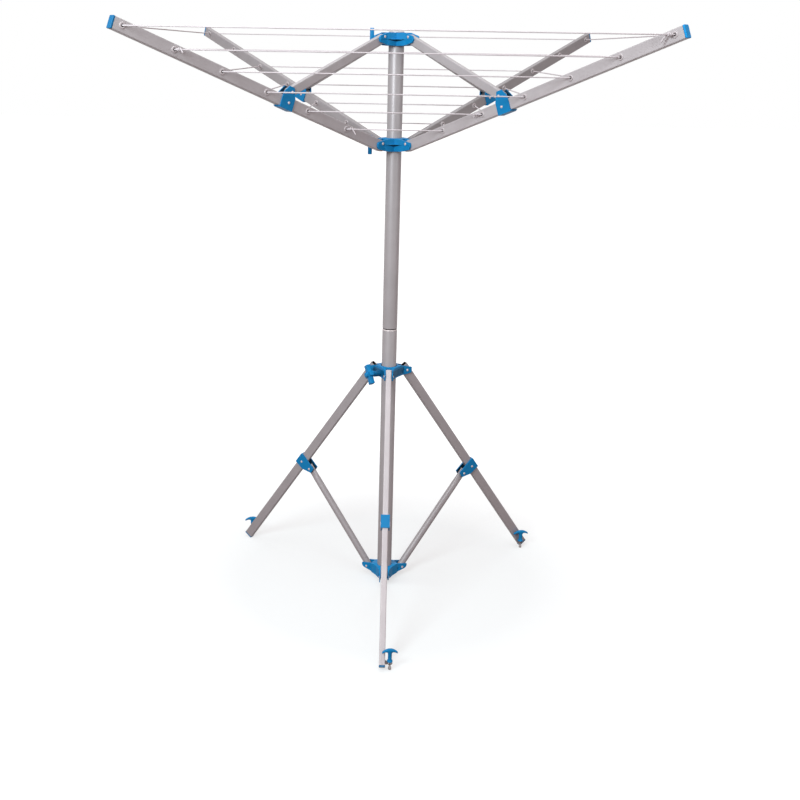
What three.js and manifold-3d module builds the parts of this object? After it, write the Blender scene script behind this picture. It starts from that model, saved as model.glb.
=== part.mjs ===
// A portable rotary clothesline: a folding tripod, a two-part mast and a four-armed folding head.
// Millimetres, +Z up. The mast stands on the origin and the first tripod leg points along -Y.

import * as THREE from "three";
import { mergeVertices } from "three/addons/utils/BufferGeometryUtils.js";
import Module from "manifold-3d";

const wasm = await Module();
wasm.setup();

// ---------------------------------------------------------------- driving dimensions

const fitGap = 0.3; // between two pieces that touch
const runGap = 0.6; // between two pieces that turn or slide on each other

// mast
const mastRadius = 20;
const mastWall = 2;
const mastTop = 1523;
const mastJointZ = 736;
const mastFootZ = 14;
const spigotWall = 2.4;
const spigotReach = 75;
const spigotFlange = 2;
const spigotFlangeInset = 0.9;

// both hubs of the head
const hubPinRadius = 53.6;
const hubTipRadius = 71.5;
const hubHalfWidth = 13.1;
const hubFlareRadius = 46;
const hubRootRadius = 32;
const topHubPinZ = mastTop - 14;
const slidingHubPinZ = 1240;
const slidingBoreGap = 0.8;

// arms and struts: pivot to pivot the strut and the inner arm are the same length
const linkRun = 302; // from a hub pin out to the strut pin, level
const linkDrop = (topHubPinZ - slidingHubPinZ) / 2;
const linkLength = Math.hypot(linkRun, linkDrop);
const strutPinRise = 20.8; // of the strut's pin over the line from the arm's pin along the arm
const armTilt = Math.atan2(linkDrop, linkRun) - Math.asin(strutPinRise / linkLength);
const armDepth = 28;
const armWidth = 16;
const armWall = 1.4;
const armEnd = 826; // tube end, along the arm from its pin
const armPinRise = 5.9; // of the arm's pin over its centre line
const strutDepth = 22;
const strutWidth = 14;
const strutWall = 1.3;
const strutDip = 5; // of the tube's middle under its upper pin
const armRivetAt = Math.sqrt(linkLength ** 2 - strutPinRise ** 2) + 1.3;
const capRim = 5;

// eyelets and lines
const firstEyelet = 130.5;
const eyeletPitch = 135;
const eyeletCount = 6;
const eyeletRise = 1.5; // over the arm's centre line
const eyeletFlangeRadius = 7.2;
const eyeletBoreRadius = 3.5;
const eyeletWall = 1.1;
const eyeletFlange = 1;
const eyeletSides = 8;
const lineRadius = 1.5;
const knotRadius = 3.8;
const knots = [[2, 1, 16], [3, -1, 9], [0, 1, 9], [1, -1, 9], [2, 1, 8], [3, -1, 22]]; // arm, face, tail

// tripod
const tripodPinRadius = 52.2;
const collarPinZ = 615;
const baseHubPinZ = 25.2;
const legTilt = THREE.MathUtils.degToRad(35.46); // from upright
const legDepth = 25;
const legWidth = 15;
const legWall = 1.5;
const legTop = -15;
const legRivetAt = 395.5;
const stayPinAt = 394.5;
const stayPinDrop = 31.6; // of the stay's pin inside the leg's centre line
const stayRadius = 9.5;
const stayWall = 1.5;
const stayFlatFrom = 36; // the stay is pressed flat over this far from its pin
const stayFlatFull = 20;
const footRim = 4.3;
const capLip = 0.3; // of a tube cap past its tube, all round
const capBevel = 0.9;
const collarBoreGap = 2.2;
const stayFlatWidth = 12;
const collarKnobDrop = 2; // of the collar's knob under the leg pins
const collarKnobRadius = 54;

// pins and knobs
const pinRadius = 3;
const rivetRadius = 2;
const rivetHeadRadius = 3.6;
const rivetHead = 1.5;
const knobBar = 54;
const knobBarWidth = 12;
const knobBarThickness = 9.5;
const knobRadius = 57.8; // of the bar's inner face, from the mast's axis
const bossReach = 46; // of the boss a clamp knob screws into

// pegs
const flapAt = 468; // of a peg plate's flap, from the mast's axis
const pegAt = [484, 466, 486];
const pegOffset = 18.8; // beside the leg's centre plane
const plateTop = 19;
const plateThickness = 2;
const plateWidth = 18;
const spikeRadius = 2.4;
const spikeTipRadius = 4.2;
const spikeBottom = 1;

// the leg's tube ends where its cap's lower edge meets the ground
const footEdge = legDepth / 2 + capLip - capBevel;
const legEnd = (collarPinZ - footEdge * Math.sin(legTilt)) / Math.cos(legTilt) - footRim;

const upper = new THREE.Vector2(linkRun, linkDrop);
const strutTilt = upper.angle();
const spokes = [45, 135, 225, 315].map(THREE.MathUtils.degToRad);
const legSpokes = [270, 30, 150].map(THREE.MathUtils.degToRad);
const pegSides = [1, -1, -1];

// ---------------------------------------------------------------- materials

function material(color, roughness, metalness) {
  return new THREE.MeshStandardMaterial({ color, roughness, metalness });
}

const aluminium = () => material("#a69c9b", 0.38, 0.85);
const bluePlastic = () => material("#1482c8", 0.42, 0);
const steel = () => material("#c9c6c6", 0.3, 0.95);
const rivetMetal = () => material("#d8ccc8", 0.35, 0.9);
const lineCord = () => material("#e9e9ec", 0.6, 0);

// ---------------------------------------------------------------- solids

const roundSides = 24; // of the mast and of every bore it runs in

function solid(geometry) {
  const bare = geometry.clone();
  bare.deleteAttribute("normal");
  bare.deleteAttribute("uv");
  const merged = mergeVertices(bare, 1e-4);
  const vertProperties = merged.attributes.position.array;
  const triVerts = Uint32Array.from(merged.index.array);
  return new wasm.Manifold(new wasm.Mesh({ numProp: 3, vertProperties, triVerts }));
}

function geometryOf(manifold) {
  const { vertProperties, triVerts } = manifold.getMesh();
  const geometry = new THREE.BufferGeometry();
  geometry.setAttribute("position", new THREE.BufferAttribute(vertProperties, 3));
  geometry.setIndex(new THREE.BufferAttribute(triVerts, 1));
  geometry.computeVertexNormals();
  return geometry;
}

function mesh(name, manifold, look) {
  const made = new THREE.Mesh(geometryOf(manifold), look);
  made.name = name;
  return made;
}

function join(pieces) {
  return pieces.reduce((whole, piece) => whole.add(piece));
}

function cut(body, tools) {
  return tools.reduce((left, tool) => left.subtract(tool), body);
}

// A shape drawn in x and y, raised along z from `from` to `to`.
function raised(shape, from, to, curveSegments = 1) {
  const geometry = new THREE.ExtrudeGeometry(shape, { depth: to - from, bevelEnabled: false, curveSegments });
  return solid(geometry.translate(0, 0, from));
}

// A side view drawn in x and z, as wide as `width` across y and centred on `middle`.
function sideways(shape, width, middle = 0, curveSegments = 5) {
  const geometry = new THREE.ExtrudeGeometry(shape, { depth: width, bevelEnabled: false, curveSegments });
  return solid(geometry.rotateX(Math.PI / 2).translate(0, middle + width / 2, 0));
}

// A section drawn in y and z, run along x from `from` to `to`.
function alongX(shape, from, to, bevel = 0, curveSegments = 1) {
  const options = { depth: to - from - bevel * 2, bevelEnabled: bevel > 0, curveSegments };
  Object.assign(options, { bevelSize: bevel, bevelThickness: bevel, bevelOffset: -bevel, bevelSegments: 1 });
  const geometry = new THREE.ExtrudeGeometry(shape, options);
  return solid(geometry.rotateY(Math.PI / 2).rotateX(Math.PI / 2).translate(from + bevel, 0, 0));
}

// A profile of [radius, z] points turned about z.
function turned(points, segments = roundSides) {
  const profile = points.map(([radius, z]) => new THREE.Vector2(radius, z));
  return solid(new THREE.LatheGeometry(profile, segments).rotateX(Math.PI / 2));
}

// The same profile given flat faces, one to each spoke and one between each two.
function faceted(points, spokeCount) {
  const sides = spokeCount * 2;
  const profile = points.map(([radius, z]) => new THREE.Vector2(radius / Math.cos(Math.PI / sides), z));
  return solid(new THREE.LatheGeometry(profile, sides, Math.PI / sides).rotateX(Math.PI / 2));
}

function disc(radius, from, to, segments = roundSides) {
  return turned([[0, from], [radius, from], [radius, to], [0, to]], segments);
}

// A round bar along y, centred on `middle`, at x and z.
function barAcross(radius, width, x, z, sides = 8) {
  const geometry = new THREE.CylinderGeometry(radius, radius, width, sides);
  return solid(geometry.translate(x, 0, z));
}

function polygon(points) {
  return new THREE.Shape(points.map(([a, b]) => new THREE.Vector2(a, b)));
}

function rectangle(left, right, bottom, top) {
  return polygon([[left, bottom], [right, bottom], [right, top], [left, top]]);
}

function block(x0, x1, width, z0, z1, middle = 0) {
  return sideways(rectangle(x0, x1, z0, z1), width, middle);
}

function roundedRectangle(width, height, radius, centre = 0) {
  const w = width / 2 - radius;
  const h = height / 2 - radius;
  const shape = new THREE.Shape();
  shape.absarc(w, centre + h, radius, 0, Math.PI / 2);
  shape.absarc(-w, centre + h, radius, Math.PI / 2, Math.PI);
  shape.absarc(-w, centre - h, radius, Math.PI, Math.PI * 1.5);
  shape.absarc(w, centre - h, radius, Math.PI * 1.5, Math.PI * 2);
  shape.closePath();
  return shape;
}

// A hollow rectangular tube along x, with its centre line at z = centre.
function boxTube(width, depth, wall, from, to, centre = 0) {
  const section = roundedRectangle(width, depth, wall * 1.4, centre);
  const w = width / 2 - wall;
  const h = depth / 2 - wall;
  section.holes.push(new THREE.Path([
    new THREE.Vector2(-w, centre - h), new THREE.Vector2(-w, centre + h),
    new THREE.Vector2(w, centre + h), new THREE.Vector2(w, centre - h),
  ]));
  return alongX(section, from, to);
}

// A rivet along y: a shank as long as `grip` between two low domed heads.
function rivet(grip, shankRadius, headRadius, x = 0, z = 0) {
  const half = grip / 2;
  const profile = [
    [0, -half - rivetHead], [headRadius, -half], [shankRadius, -half],
    [shankRadius, half], [headRadius, half], [0, half + rivetHead],
  ].map(([radius, y]) => new THREE.Vector2(radius, y));
  return solid(new THREE.LatheGeometry(profile, 8).translate(x, 0, z));
}

// A rivet joined to the cheeks it crosses, its heads sunk a little into their outer faces.
function setRivet(width, shankRadius, x, z) {
  return rivet(width - 0.4, shankRadius, rivetHeadRadius, x, z);
}

function spoke(angle) {
  const group = new THREE.Group();
  group.rotation.z = angle;
  return group;
}

function turnedCopy(manifold, angle) {
  return manifold.rotate([0, 0, THREE.MathUtils.radToDeg(angle)]);
}

// ---------------------------------------------------------------- mast

function mastTube(from, to) {
  const inner = mastRadius - mastWall;
  return turned([[inner, from], [mastRadius, from], [mastRadius, to], [inner, to], [inner, from]]);
}

function spigot() {
  const outer = mastRadius - mastWall - fitGap;
  const inner = outer - spigotWall;
  const rim = mastRadius - spigotFlangeInset;
  const flangeFoot = mastJointZ + fitGap;
  const flangeTop = flangeFoot + spigotFlange;
  const low = mastJointZ - spigotReach;
  const high = flangeTop + spigotReach;
  return turned([
    [inner, low], [outer - 1, low], [outer, low + 3], [outer, flangeFoot], [rim, flangeFoot],
    [rim, flangeTop], [outer, flangeTop], [outer, high - 3], [outer - 1, high], [inner, high], [inner, low],
  ]);
}

// ---------------------------------------------------------------- hubs

// The plan of a hub: a clevis on each spoke, flaring into creases between them.
function hubPlan(angles, tip, halfWidth, flare, crease) {
  const shape = new THREE.Shape();
  const nick = 3;
  angles.forEach((angle, index) => {
    const along = (radius, side) => {
      return [radius * Math.cos(angle) - side * Math.sin(angle), radius * Math.sin(angle) + side * Math.cos(angle)];
    };
    if (index === 0) shape.moveTo(...along(flare, -halfWidth));
    else shape.lineTo(...along(flare, -halfWidth));
    shape.lineTo(...along(tip - nick, -halfWidth));
    shape.quadraticCurveTo(...along(tip, -halfWidth), ...along(tip, nick - halfWidth));
    shape.lineTo(...along(tip, halfWidth - nick));
    shape.quadraticCurveTo(...along(tip, halfWidth), ...along(tip - nick, halfWidth));
    shape.lineTo(...along(flare, halfWidth));
    const between = angle + Math.PI / angles.length;
    shape.lineTo(crease * Math.cos(between), crease * Math.sin(between));
  });
  return shape;
}

// One of the head's two hubs, drawn with its pins at z = 0: `ledge` is where its waist narrows.
function headHub({ bore, slot, ledge, profile, knobSide, boreFrom }) {
  const wide = raised(hubPlan(spokes, hubTipRadius, hubHalfWidth, hubFlareRadius, 30), ledge, 20);
  const waistHalf = hubHalfWidth - 0.4;
  const waist = raised(hubPlan(spokes, hubTipRadius + 1, waistHalf, hubFlareRadius, 24.6), -30, ledge + 4);
  const envelope = faceted(profile, 4);
  const boss = solid(new THREE.CylinderGeometry(8, 8.6, 24, 12).rotateZ(Math.PI / 2).translate(12 - bossReach, 0, -5));
  const body = join([wide, waist]).intersect(envelope).add(boss);
  const slots = spokes.map((angle) => turnedCopy(block(hubRootRadius, 90, slot, -40, 40), angle));
  const knobHole = new THREE.CylinderGeometry(3.3, 3.3, 40, 10).rotateZ(Math.PI / 2);
  return cut(body, [disc(bore, boreFrom, 40), ...slots, solid(knobHole.translate(-38, 0, -5))]);
}

const topHubProfile = [
  [0, -22.5], [22, -22.5], [42, -21], [68, -13.5], [71.5, -5], [67, 3], [40, 11], [0, 11],
];
const slidingHubProfile = [
  [0, -22.3], [24, -22.3], [40, -20.5], [67.5, -14], [71.7, -5], [70, 3.5], [28, 12.4], [0, 12.4],
];

function topHub() {
  const hub = headHub({
    bore: mastRadius + fitGap, slot: strutWidth + runGap * 2, ledge: -6.6, profile: topHubProfile, boreFrom: -40,
  });
  const across = setRivet(hubHalfWidth * 2, pinRadius, hubPinRadius, 0);
  return join([hub, ...spokes.map((angle) => turnedCopy(across, angle))]);
}

function slidingHub() {
  const hub = headHub({
    bore: mastRadius + slidingBoreGap, slot: armWidth + runGap * 2, ledge: -3.7, profile: slidingHubProfile, boreFrom: -40,
  });
  const hole = barAcross(pinRadius + fitGap, 60, hubPinRadius, 0);
  return cut(hub, spokes.map((angle) => turnedCopy(hole, angle)));
}

function armPin() {
  return rivet(hubHalfWidth * 2 + fitGap * 2, pinRadius, rivetHeadRadius);
}

// A T-bar clamp knob, drawn with its screw along -x and its bar upright.
function clampKnob(screwEnd, radius = knobRadius, cap = 0) {
  const bar = new THREE.Shape();
  const half = knobBar / 2;
  bar.moveTo(-knobBarWidth / 2, -half + 3);
  bar.quadraticCurveTo(-knobBarWidth / 2, -half, -knobBarWidth / 2 + 3, -half);
  bar.lineTo(knobBarWidth / 2 - 3, -half);
  bar.quadraticCurveTo(knobBarWidth / 2, -half, knobBarWidth / 2, -half + 3);
  bar.lineTo(knobBarWidth / 2 + 1.5, 0);
  bar.lineTo(knobBarWidth / 2, half - 3);
  bar.quadraticCurveTo(knobBarWidth / 2, half, knobBarWidth / 2 - 3, half);
  bar.lineTo(-knobBarWidth / 2 + 3, half);
  bar.quadraticCurveTo(-knobBarWidth / 2, half, -knobBarWidth / 2, half - 3);
  bar.lineTo(-knobBarWidth / 2 - 1.5, 0);
  const thick = alongX(bar, 0, knobBarThickness, 1, 2).rotate([0, 0, 180]).translate([-radius, 0, 0]);
  const neckEnd = bossReach + fitGap;
  const neck = new THREE.CylinderGeometry(7.4, 6.6, radius + 2 - neckEnd, 12).rotateZ(Math.PI / 2);
  const boss = new THREE.CylinderGeometry(5.6, 7, knobBarThickness + cap - 4, 10).rotateZ(Math.PI / 2);
  const screw = new THREE.CylinderGeometry(3, 3, radius - screwEnd, 8).rotateZ(Math.PI / 2);
  return join([
    thick,
    solid(neck.translate(-(radius + 2 + neckEnd) / 2, 0, 0)),
    solid(screw.translate(-(radius + screwEnd) / 2, 0, 0)),
    ...(cap ? [solid(boss.translate(-radius - 2 - (knobBarThickness + cap) / 2, 0, 0))] : []),
  ]);
}

// ---------------------------------------------------------------- arms, struts and brackets

function eyeletPlaces() {
  return Array.from({ length: eyeletCount }, (_, index) => firstEyelet + index * eyeletPitch);
}

function eyelet(x, z) {
  const outer = eyeletBoreRadius + eyeletWall;
  const under = armWidth / 2 - 0.4;
  const top = armWidth / 2 + eyeletFlange;
  const profile = [
    [0, -top], [eyeletFlangeRadius, -top], [eyeletFlangeRadius, -under], [outer, -under],
    [outer, under], [eyeletFlangeRadius, under], [eyeletFlangeRadius, top], [0, top],
  ].map(([radius, y]) => new THREE.Vector2(radius, y));
  return solid(new THREE.LatheGeometry(profile, eyeletSides).translate(x, 0, z));
}

function arm() {
  const centre = -armPinRise;
  const tube = boxTube(armWidth, armDepth, armWall, -20, armEnd, centre);
  const outline = new THREE.Shape();
  outline.absarc(-2, centre, armDepth / 2, Math.PI / 2, Math.PI * 1.5);
  outline.lineTo(armEnd + 1, centre - armDepth / 2);
  outline.lineTo(armEnd + 1, centre + armDepth / 2);
  const holesZ = centre + eyeletRise;
  const rounded = tube.intersect(sideways(outline, armWidth + 2, 0, 6));
  const bushed = join([rounded, ...eyeletPlaces().map((x) => eyelet(x, holesZ))]);
  const bores = eyeletPlaces().map((x) => barAcross(eyeletBoreRadius, armWidth * 2, x, holesZ, eyeletSides));
  const pinHole = barAcross(pinRadius + fitGap, armWidth * 2, 0, 0);
  const rivetHole = barAcross(rivetRadius + fitGap, armWidth * 2, armRivetAt, centre, 8);
  return cut(bushed, [...bores, pinHole, rivetHole]);
}

function tubeCap(width, depth, wall, end, rim, centre = 0) {
  const section = roundedRectangle(width + capLip * 2, depth + capLip * 2, 2, centre);
  const lid = alongX(section, end + fitGap, end + rim, capBevel);
  const slack = (wall + fitGap) * 2;
  const plug = block(end - 14, end + fitGap + 1, width - slack, centre - depth / 2 + slack / 2, centre + depth / 2 - slack / 2);
  return join([lid, plug]);
}

function strut() {
  const tube = boxTube(strutWidth, strutDepth, strutWall, -12, linkLength + 12);
  const outline = new THREE.Shape();
  outline.absarc(0, 0, strutDepth / 2, Math.PI / 2, Math.PI * 1.5);
  outline.absarc(linkLength, 0, strutDepth / 2, -Math.PI / 2, Math.PI / 2);
  const straight = tube.intersect(sideways(outline, strutWidth + 2, 0, 5));
  const dip = THREE.MathUtils.radToDeg(Math.asin(strutDip / linkLength));
  const rounded = straight.translate([-linkLength, 0, 0]).rotate([0, -dip, 0]).translate([linkLength, 0, 0]);
  const hole = (x) => barAcross(pinRadius + fitGap, strutWidth * 2, x, 0);
  return cut(rounded, [hole(0), hole(linkLength)]);
}

// Where the strut's pin lies, in the arm's own frame.
function strutPinOnArm() {
  return upper.clone().rotateAround(new THREE.Vector2(), -armTilt);
}

function armBracket() {
  const centre = -armPinRise;
  const inside = armWidth / 2 + fitGap;
  const floorTop = centre - armDepth / 2 - fitGap;
  const floor = floorTop - 3;
  const left = armRivetAt - 15.7;
  const right = armRivetAt + 22.7;
  const top = strutPinRise + 11.8;
  const cheeks = polygon([
    [left, floor], [right, floor], [right + 0.4, centre + 19], [right - 12, top],
    [left + 11, top], [left, centre + 14],
  ]);
  const skirt = polygon([[left, floor], [right + 3, floor + 1.2], [right + 4, floorTop], [left, floorTop]]);
  const wall = 2.8;
  const body = sideways(cheeks, (inside + wall) * 2).add(sideways(skirt, (inside + wall) * 2 - 1));
  const channel = block(left - 1, right + 20, inside * 2, floorTop, floorTop + 90);
  const pin = strutPinOnArm();
  return join([
    cut(body, [channel]),
    setRivet((inside + wall) * 2, rivetRadius, armRivetAt, centre),
    setRivet((inside + wall) * 2, pinRadius, pin.x, pin.y),
  ]);
}

// ---------------------------------------------------------------- lines

// A path whose extrusion has one section at each of its points, set square to the bend there.
class LinePath extends THREE.Curve {
  constructor(points) {
    super();
    this.points = points;
  }

  getUtoTmapping(u) {
    return u;
  }

  getPoint(t, target = new THREE.Vector3()) {
    const place = t * (this.points.length - 1);
    const index = Math.min(Math.floor(place), this.points.length - 2);
    return target.lerpVectors(this.points[index], this.points[index + 1], place - index);
  }

  getTangent(t, target = new THREE.Vector3()) {
    const index = Math.round(t * (this.points.length - 1));
    const heading = (from) => this.points[from + 1].clone().sub(this.points[from]).normalize();
    target.copy(heading(Math.max(index - 1, 0)));
    return target.add(heading(Math.min(index, this.points.length - 2))).normalize();
  }
}

// The point in an eyelet's bore, `side` across from the arm's centre plane.
function eyeletPoint(angle, reach, side) {
  const run = reach * Math.cos(armTilt) - (eyeletRise - armPinRise) * Math.sin(armTilt) + hubPinRadius;
  const z = reach * Math.sin(armTilt) + (eyeletRise - armPinRise) * Math.cos(armTilt) + slidingHubPinZ;
  return new THREE.Vector3(
    run * Math.cos(angle) - side * Math.sin(angle),
    run * Math.sin(angle) + side * Math.cos(angle),
    z,
  );
}

// The points of one square loop through the same eyelet of all four arms. It starts and ends beside
// arm `knotArm`, on the face that `side` picks, where it is knotted.
function loopPoints(reach, knotArm, side) {
  const bend = side * (armWidth / 2 + eyeletFlange + 0.6);
  const at = (step) => spokes[(knotArm + side * step + spokes.length) % spokes.length];
  const points = [];
  for (let step = 0; step < spokes.length; step += 1) {
    points.push(eyeletPoint(at(step), reach, bend), eyeletPoint(at(step + 1), reach, -bend));
  }
  points.push(eyeletPoint(at(0), reach, bend - side * 0.8));
  return points;
}

function cordAlong(points) {
  const circle = new THREE.Shape().absarc(0, 0, lineRadius, 0, Math.PI * 2);
  const options = { steps: points.length - 1, bevelEnabled: false, curveSegments: 4 };
  return solid(new THREE.ExtrudeGeometry(circle, { ...options, extrudePath: new LinePath(points) }));
}

// A closed loop of line, its two ends held by a small knot with a short tail.
function lineLoop(reach, [knotArm, side, tail]) {
  const points = loopPoints(reach, knotArm, side);
  const towards = points[1].clone().sub(points[0]).normalize();
  const middle = points[0].clone().addScaledVector(towards, 5);
  const twist = new THREE.SphereGeometry(knotRadius, 7, 5).scale(1.25, 0.95, 0.8).rotateY(0.5);
  const knot = solid(twist.translate(middle.x, middle.y, middle.z));
  const tip = middle.clone().addScaledVector(towards, tail * 0.75).add(new THREE.Vector3(0, -3, -tail * 0.6));
  return join([cordAlong(points), knot, cordAlong([middle, tip])]);
}

// ---------------------------------------------------------------- tripod

const tripodWaist = 27.5;

function tripodHub({ profile, pinZ, bore, boreFrom, slot, slotRoot, halfWidth, pocket }) {
  const tip = 68.5;
  const below = pinZ - 45;
  const above = pinZ + 45;
  const plan = raised(hubPlan(legSpokes, tip, halfWidth, 38, tripodWaist), below, above);
  const body = plan.intersect(faceted(profile.map(([radius, z]) => [radius, z + pinZ]), 3));
  const slots = legSpokes.map((angle) => turnedCopy(block(slotRoot, 90, slot, below, above), angle));
  const pockets = legSpokes.flatMap((angle) => [1, -1].map((side) => {
    const dent = sideways(polygon(pocket.map(([x, z]) => [x, z + pinZ])), 3, side * (halfWidth + 0.3));
    return turnedCopy(dent, angle);
  }));
  return cut(body, [disc(bore, boreFrom, above), ...slots, ...pockets]);
}

function legCollar() {
  const z = collarPinZ;
  const hub = tripodHub({
    profile: [
      [0, -12.5], [27.5, -12.5], [46, -11.6], [64.5, -8.5], [68.5, -5],
      [68.5, 4.8], [66.5, 7.2], [18, 18.7], [0, 18.7],
    ],
    pinZ: z,
    bore: mastRadius + collarBoreGap,
    boreFrom: z - 45,
    slot: legWidth + runGap * 2,
    slotRoot: 28.5,
    halfWidth: 12,
    pocket: [[27, 2], [43, 4], [43, -4], [33, -9]],
  });
  const hole = barAcross(pinRadius + fitGap, 60, tripodPinRadius, z);
  const knobAngle = THREE.MathUtils.degToRad(210);
  const boss = new THREE.CylinderGeometry(8, 9, 22, 12).rotateZ(-Math.PI / 2).translate(bossReach - 11, 0, z - collarKnobDrop);
  const screwHole = new THREE.CylinderGeometry(3.3, 3.3, 40, 10).rotateZ(Math.PI / 2).translate(40, 0, z - collarKnobDrop);
  const bored = cut(solid(boss), [disc(mastRadius + collarBoreGap, z - 45, z + 45)]);
  const whole = hub.add(turnedCopy(bored, knobAngle));
  return cut(whole, [...legSpokes.map((angle) => turnedCopy(hole, angle)), turnedCopy(solid(screwHole), knobAngle)]);
}

function bottomHub() {
  const z = baseHubPinZ;
  const hub = tripodHub({
    profile: [
      [0, -14.2], [24, -14.2], [60, -5], [68.5, 1.5], [68.5, 6], [66.5, 7.8], [18, 17], [0, 17],
    ],
    pinZ: z,
    bore: mastRadius + fitGap,
    boreFrom: mastFootZ - fitGap,
    slot: stayRadius * 2 + runGap * 2,
    slotRoot: 37,
    halfWidth: 13.4,
    pocket: [[31, 3], [43, 2], [41, -5], [33, -8]],
  });
  const across = setRivet(26.8, pinRadius, tripodPinRadius, z);
  const standing = turned([[0, 0], [12, 0], [13.5, 1.5], [19, z - 12], [0, z - 12]]);
  const lug = turnedCopy(block(57, 61, 2.6, z - 11.5, z, -11.9), legSpokes[0]);
  return join([hub, standing, lug, ...legSpokes.map((angle) => turnedCopy(across, angle))]);
}

function legPin() {
  return rivet(24 + fitGap * 2, pinRadius, rivetHeadRadius);
}

function leg() {
  const tube = boxTube(legWidth, legDepth, legWall, legTop, legEnd);
  const pinHole = barAcross(pinRadius + fitGap, legWidth * 2, 0, 0);
  const rivetHole = barAcross(rivetRadius + fitGap, legWidth * 2, legRivetAt, 0, 8);
  return cut(tube, [pinHole, rivetHole]);
}

function legBracket() {
  const width = 23.4;
  const face = legDepth / 2 + fitGap;
  const outer = face + 3.2;
  const outline = polygon([
    [legRivetAt - 18.5, outer], [legRivetAt - 20.5, 10], [legRivetAt - 12.5, -42], [legRivetAt + 3.5, -43],
    [legRivetAt + 16, -15], [legRivetAt + 14.5, outer],
  ]);
  const long = [legRivetAt - 60, legRivetAt + 60];
  const slot = block(...long, legWidth + fitGap * 2, -80, face);
  return join([
    cut(sideways(outline, width), [slot]),
    setRivet(width, rivetRadius, legRivetAt, 0),
    setRivet(width, pinRadius, stayPinAt, -stayPinDrop),
  ]);
}

function stayEnds() {
  const pin = new THREE.Vector2(stayPinAt, -stayPinDrop);
  const along = new THREE.Vector2(Math.sin(legTilt), -Math.cos(legTilt));
  const normal = new THREE.Vector2(Math.cos(legTilt), Math.sin(legTilt));
  const place = along.multiplyScalar(pin.x).add(normal.multiplyScalar(pin.y));
  return place.add(new THREE.Vector2(0, collarPinZ - baseHubPinZ));
}

// A round tube along x, its far end pressed flat across y where the bracket holds it.
// The upper pin's hole is long crosswise, so that the legs' unequal turning finds room in it.
function staySlot(length) {
  const edge = pinRadius + fitGap * 2;
  const low = -edge - 2.7;
  const high = edge + 2;
  return polygon([
    [length - edge - 1, low + 2.7], [length - edge + 1, low], [length + edge - 2, low], [length + edge, low + 2.4],
    [length + edge, high - 3], [length + edge - 2.4, high], [length - edge + 0.8, high], [length - edge - 1, high - 2.4],
  ]);
}

function stay(length) {
  const from = -stayRadius;
  const to = length + stayRadius;
  const outer = [from, length - stayFlatFrom, length - 28, length - stayFlatFull, to];
  const profile = [
    ...outer.map((x) => [stayRadius, x]),
    ...outer.map((x) => [stayRadius - stayWall, x]).reverse(),
    [stayRadius, from],
  ].map(([radius, x]) => new THREE.Vector2(radius, x));
  const tube = new THREE.LatheGeometry(profile, 12).rotateZ(-Math.PI / 2);
  const place = tube.attributes.position;
  for (let index = 0; index < place.count; index += 1) {
    const pressed = THREE.MathUtils.smoothstep(place.getX(index), length - stayFlatFrom, length - stayFlatFull);
    place.setY(index, place.getY(index) * THREE.MathUtils.lerp(1, stayFlatWidth / 2 / stayRadius, pressed));
    place.setZ(index, place.getZ(index) * THREE.MathUtils.lerp(1, 1.14, pressed));
  }
  return cut(solid(tube), [barAcross(pinRadius + fitGap, 40, 0, 0), sideways(staySlot(length), 40)]);
}

// ---------------------------------------------------------------- pegs

function pegPlate(side, reach) {
  const near = legWidth / 2 + fitGap;
  const far = pegOffset + plateWidth / 2;
  const tab = block(flapAt - 9, reach + 9, far - near, plateTop - plateThickness, plateTop, side * (near + far) / 2);
  const flap = block(-16, 13, plateThickness, -9, 9, side * (near + plateThickness / 2));
  const tilt = THREE.MathUtils.radToDeg(Math.PI / 2 - legTilt);
  const axisZ = collarPinZ - (flapAt - tripodPinRadius) / Math.tan(legTilt);
  const laid = flap.rotate([0, tilt, 0]).translate([flapAt, 0, axisZ]);
  const hole = disc(spikeTipRadius + runGap, 0, 40, 12).translate([reach, side * pegOffset, 0]);
  return cut(join([tab, laid]), [hole]);
}

function pegHandle() {
  const foot = plateTop + fitGap;
  const top = 60.5;
  const half = 22;
  const grip = new THREE.Shape();
  grip.moveTo(-half, top - 12);
  grip.quadraticCurveTo(-half * 0.55, top, 0, top);
  grip.quadraticCurveTo(half * 0.55, top, half, top - 12);
  grip.quadraticCurveTo(half - 1, top - 16, half - 4.5, top - 15);
  grip.quadraticCurveTo(half * 0.42, top - 9, 5, top - 22);
  grip.lineTo(5, foot + 5);
  grip.lineTo(-5, foot + 5);
  grip.lineTo(-5, top - 22);
  grip.quadraticCurveTo(-half * 0.42, top - 9, 4.5 - half, top - 15);
  grip.quadraticCurveTo(1 - half, top - 16, -half, top - 12);
  const flange = turned([[0, foot], [8.3, foot], [8.3, foot + 2.6], [6, foot + 8], [0, foot + 8]], 14);
  const bore = disc(spikeRadius + fitGap, 0, 46 + fitGap, 10);
  return cut(join([sideways(grip, 8, 0, 3), flange]), [bore]);
}

function pegSpike() {
  return turned([
    [0, spikeBottom], [spikeTipRadius - 1, spikeBottom], [spikeTipRadius, spikeBottom + 1.5],
    [spikeTipRadius - 0.4, spikeBottom + 7], [spikeRadius, spikeBottom + 8.5], [spikeRadius, 46], [0, 46],
  ], 10);
}

// ---------------------------------------------------------------- assembly

function buildMast(object) {
  object.add(mesh("lower_mast", mastTube(mastFootZ, mastJointZ), aluminium()));
  object.add(mesh("mast_spigot", spigot(), bluePlastic()));
  const foot = mastJointZ + spigotFlange + fitGap * 2;
  object.add(mesh("upper_mast", mastTube(foot, mastTop), aluminium()));
}

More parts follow.
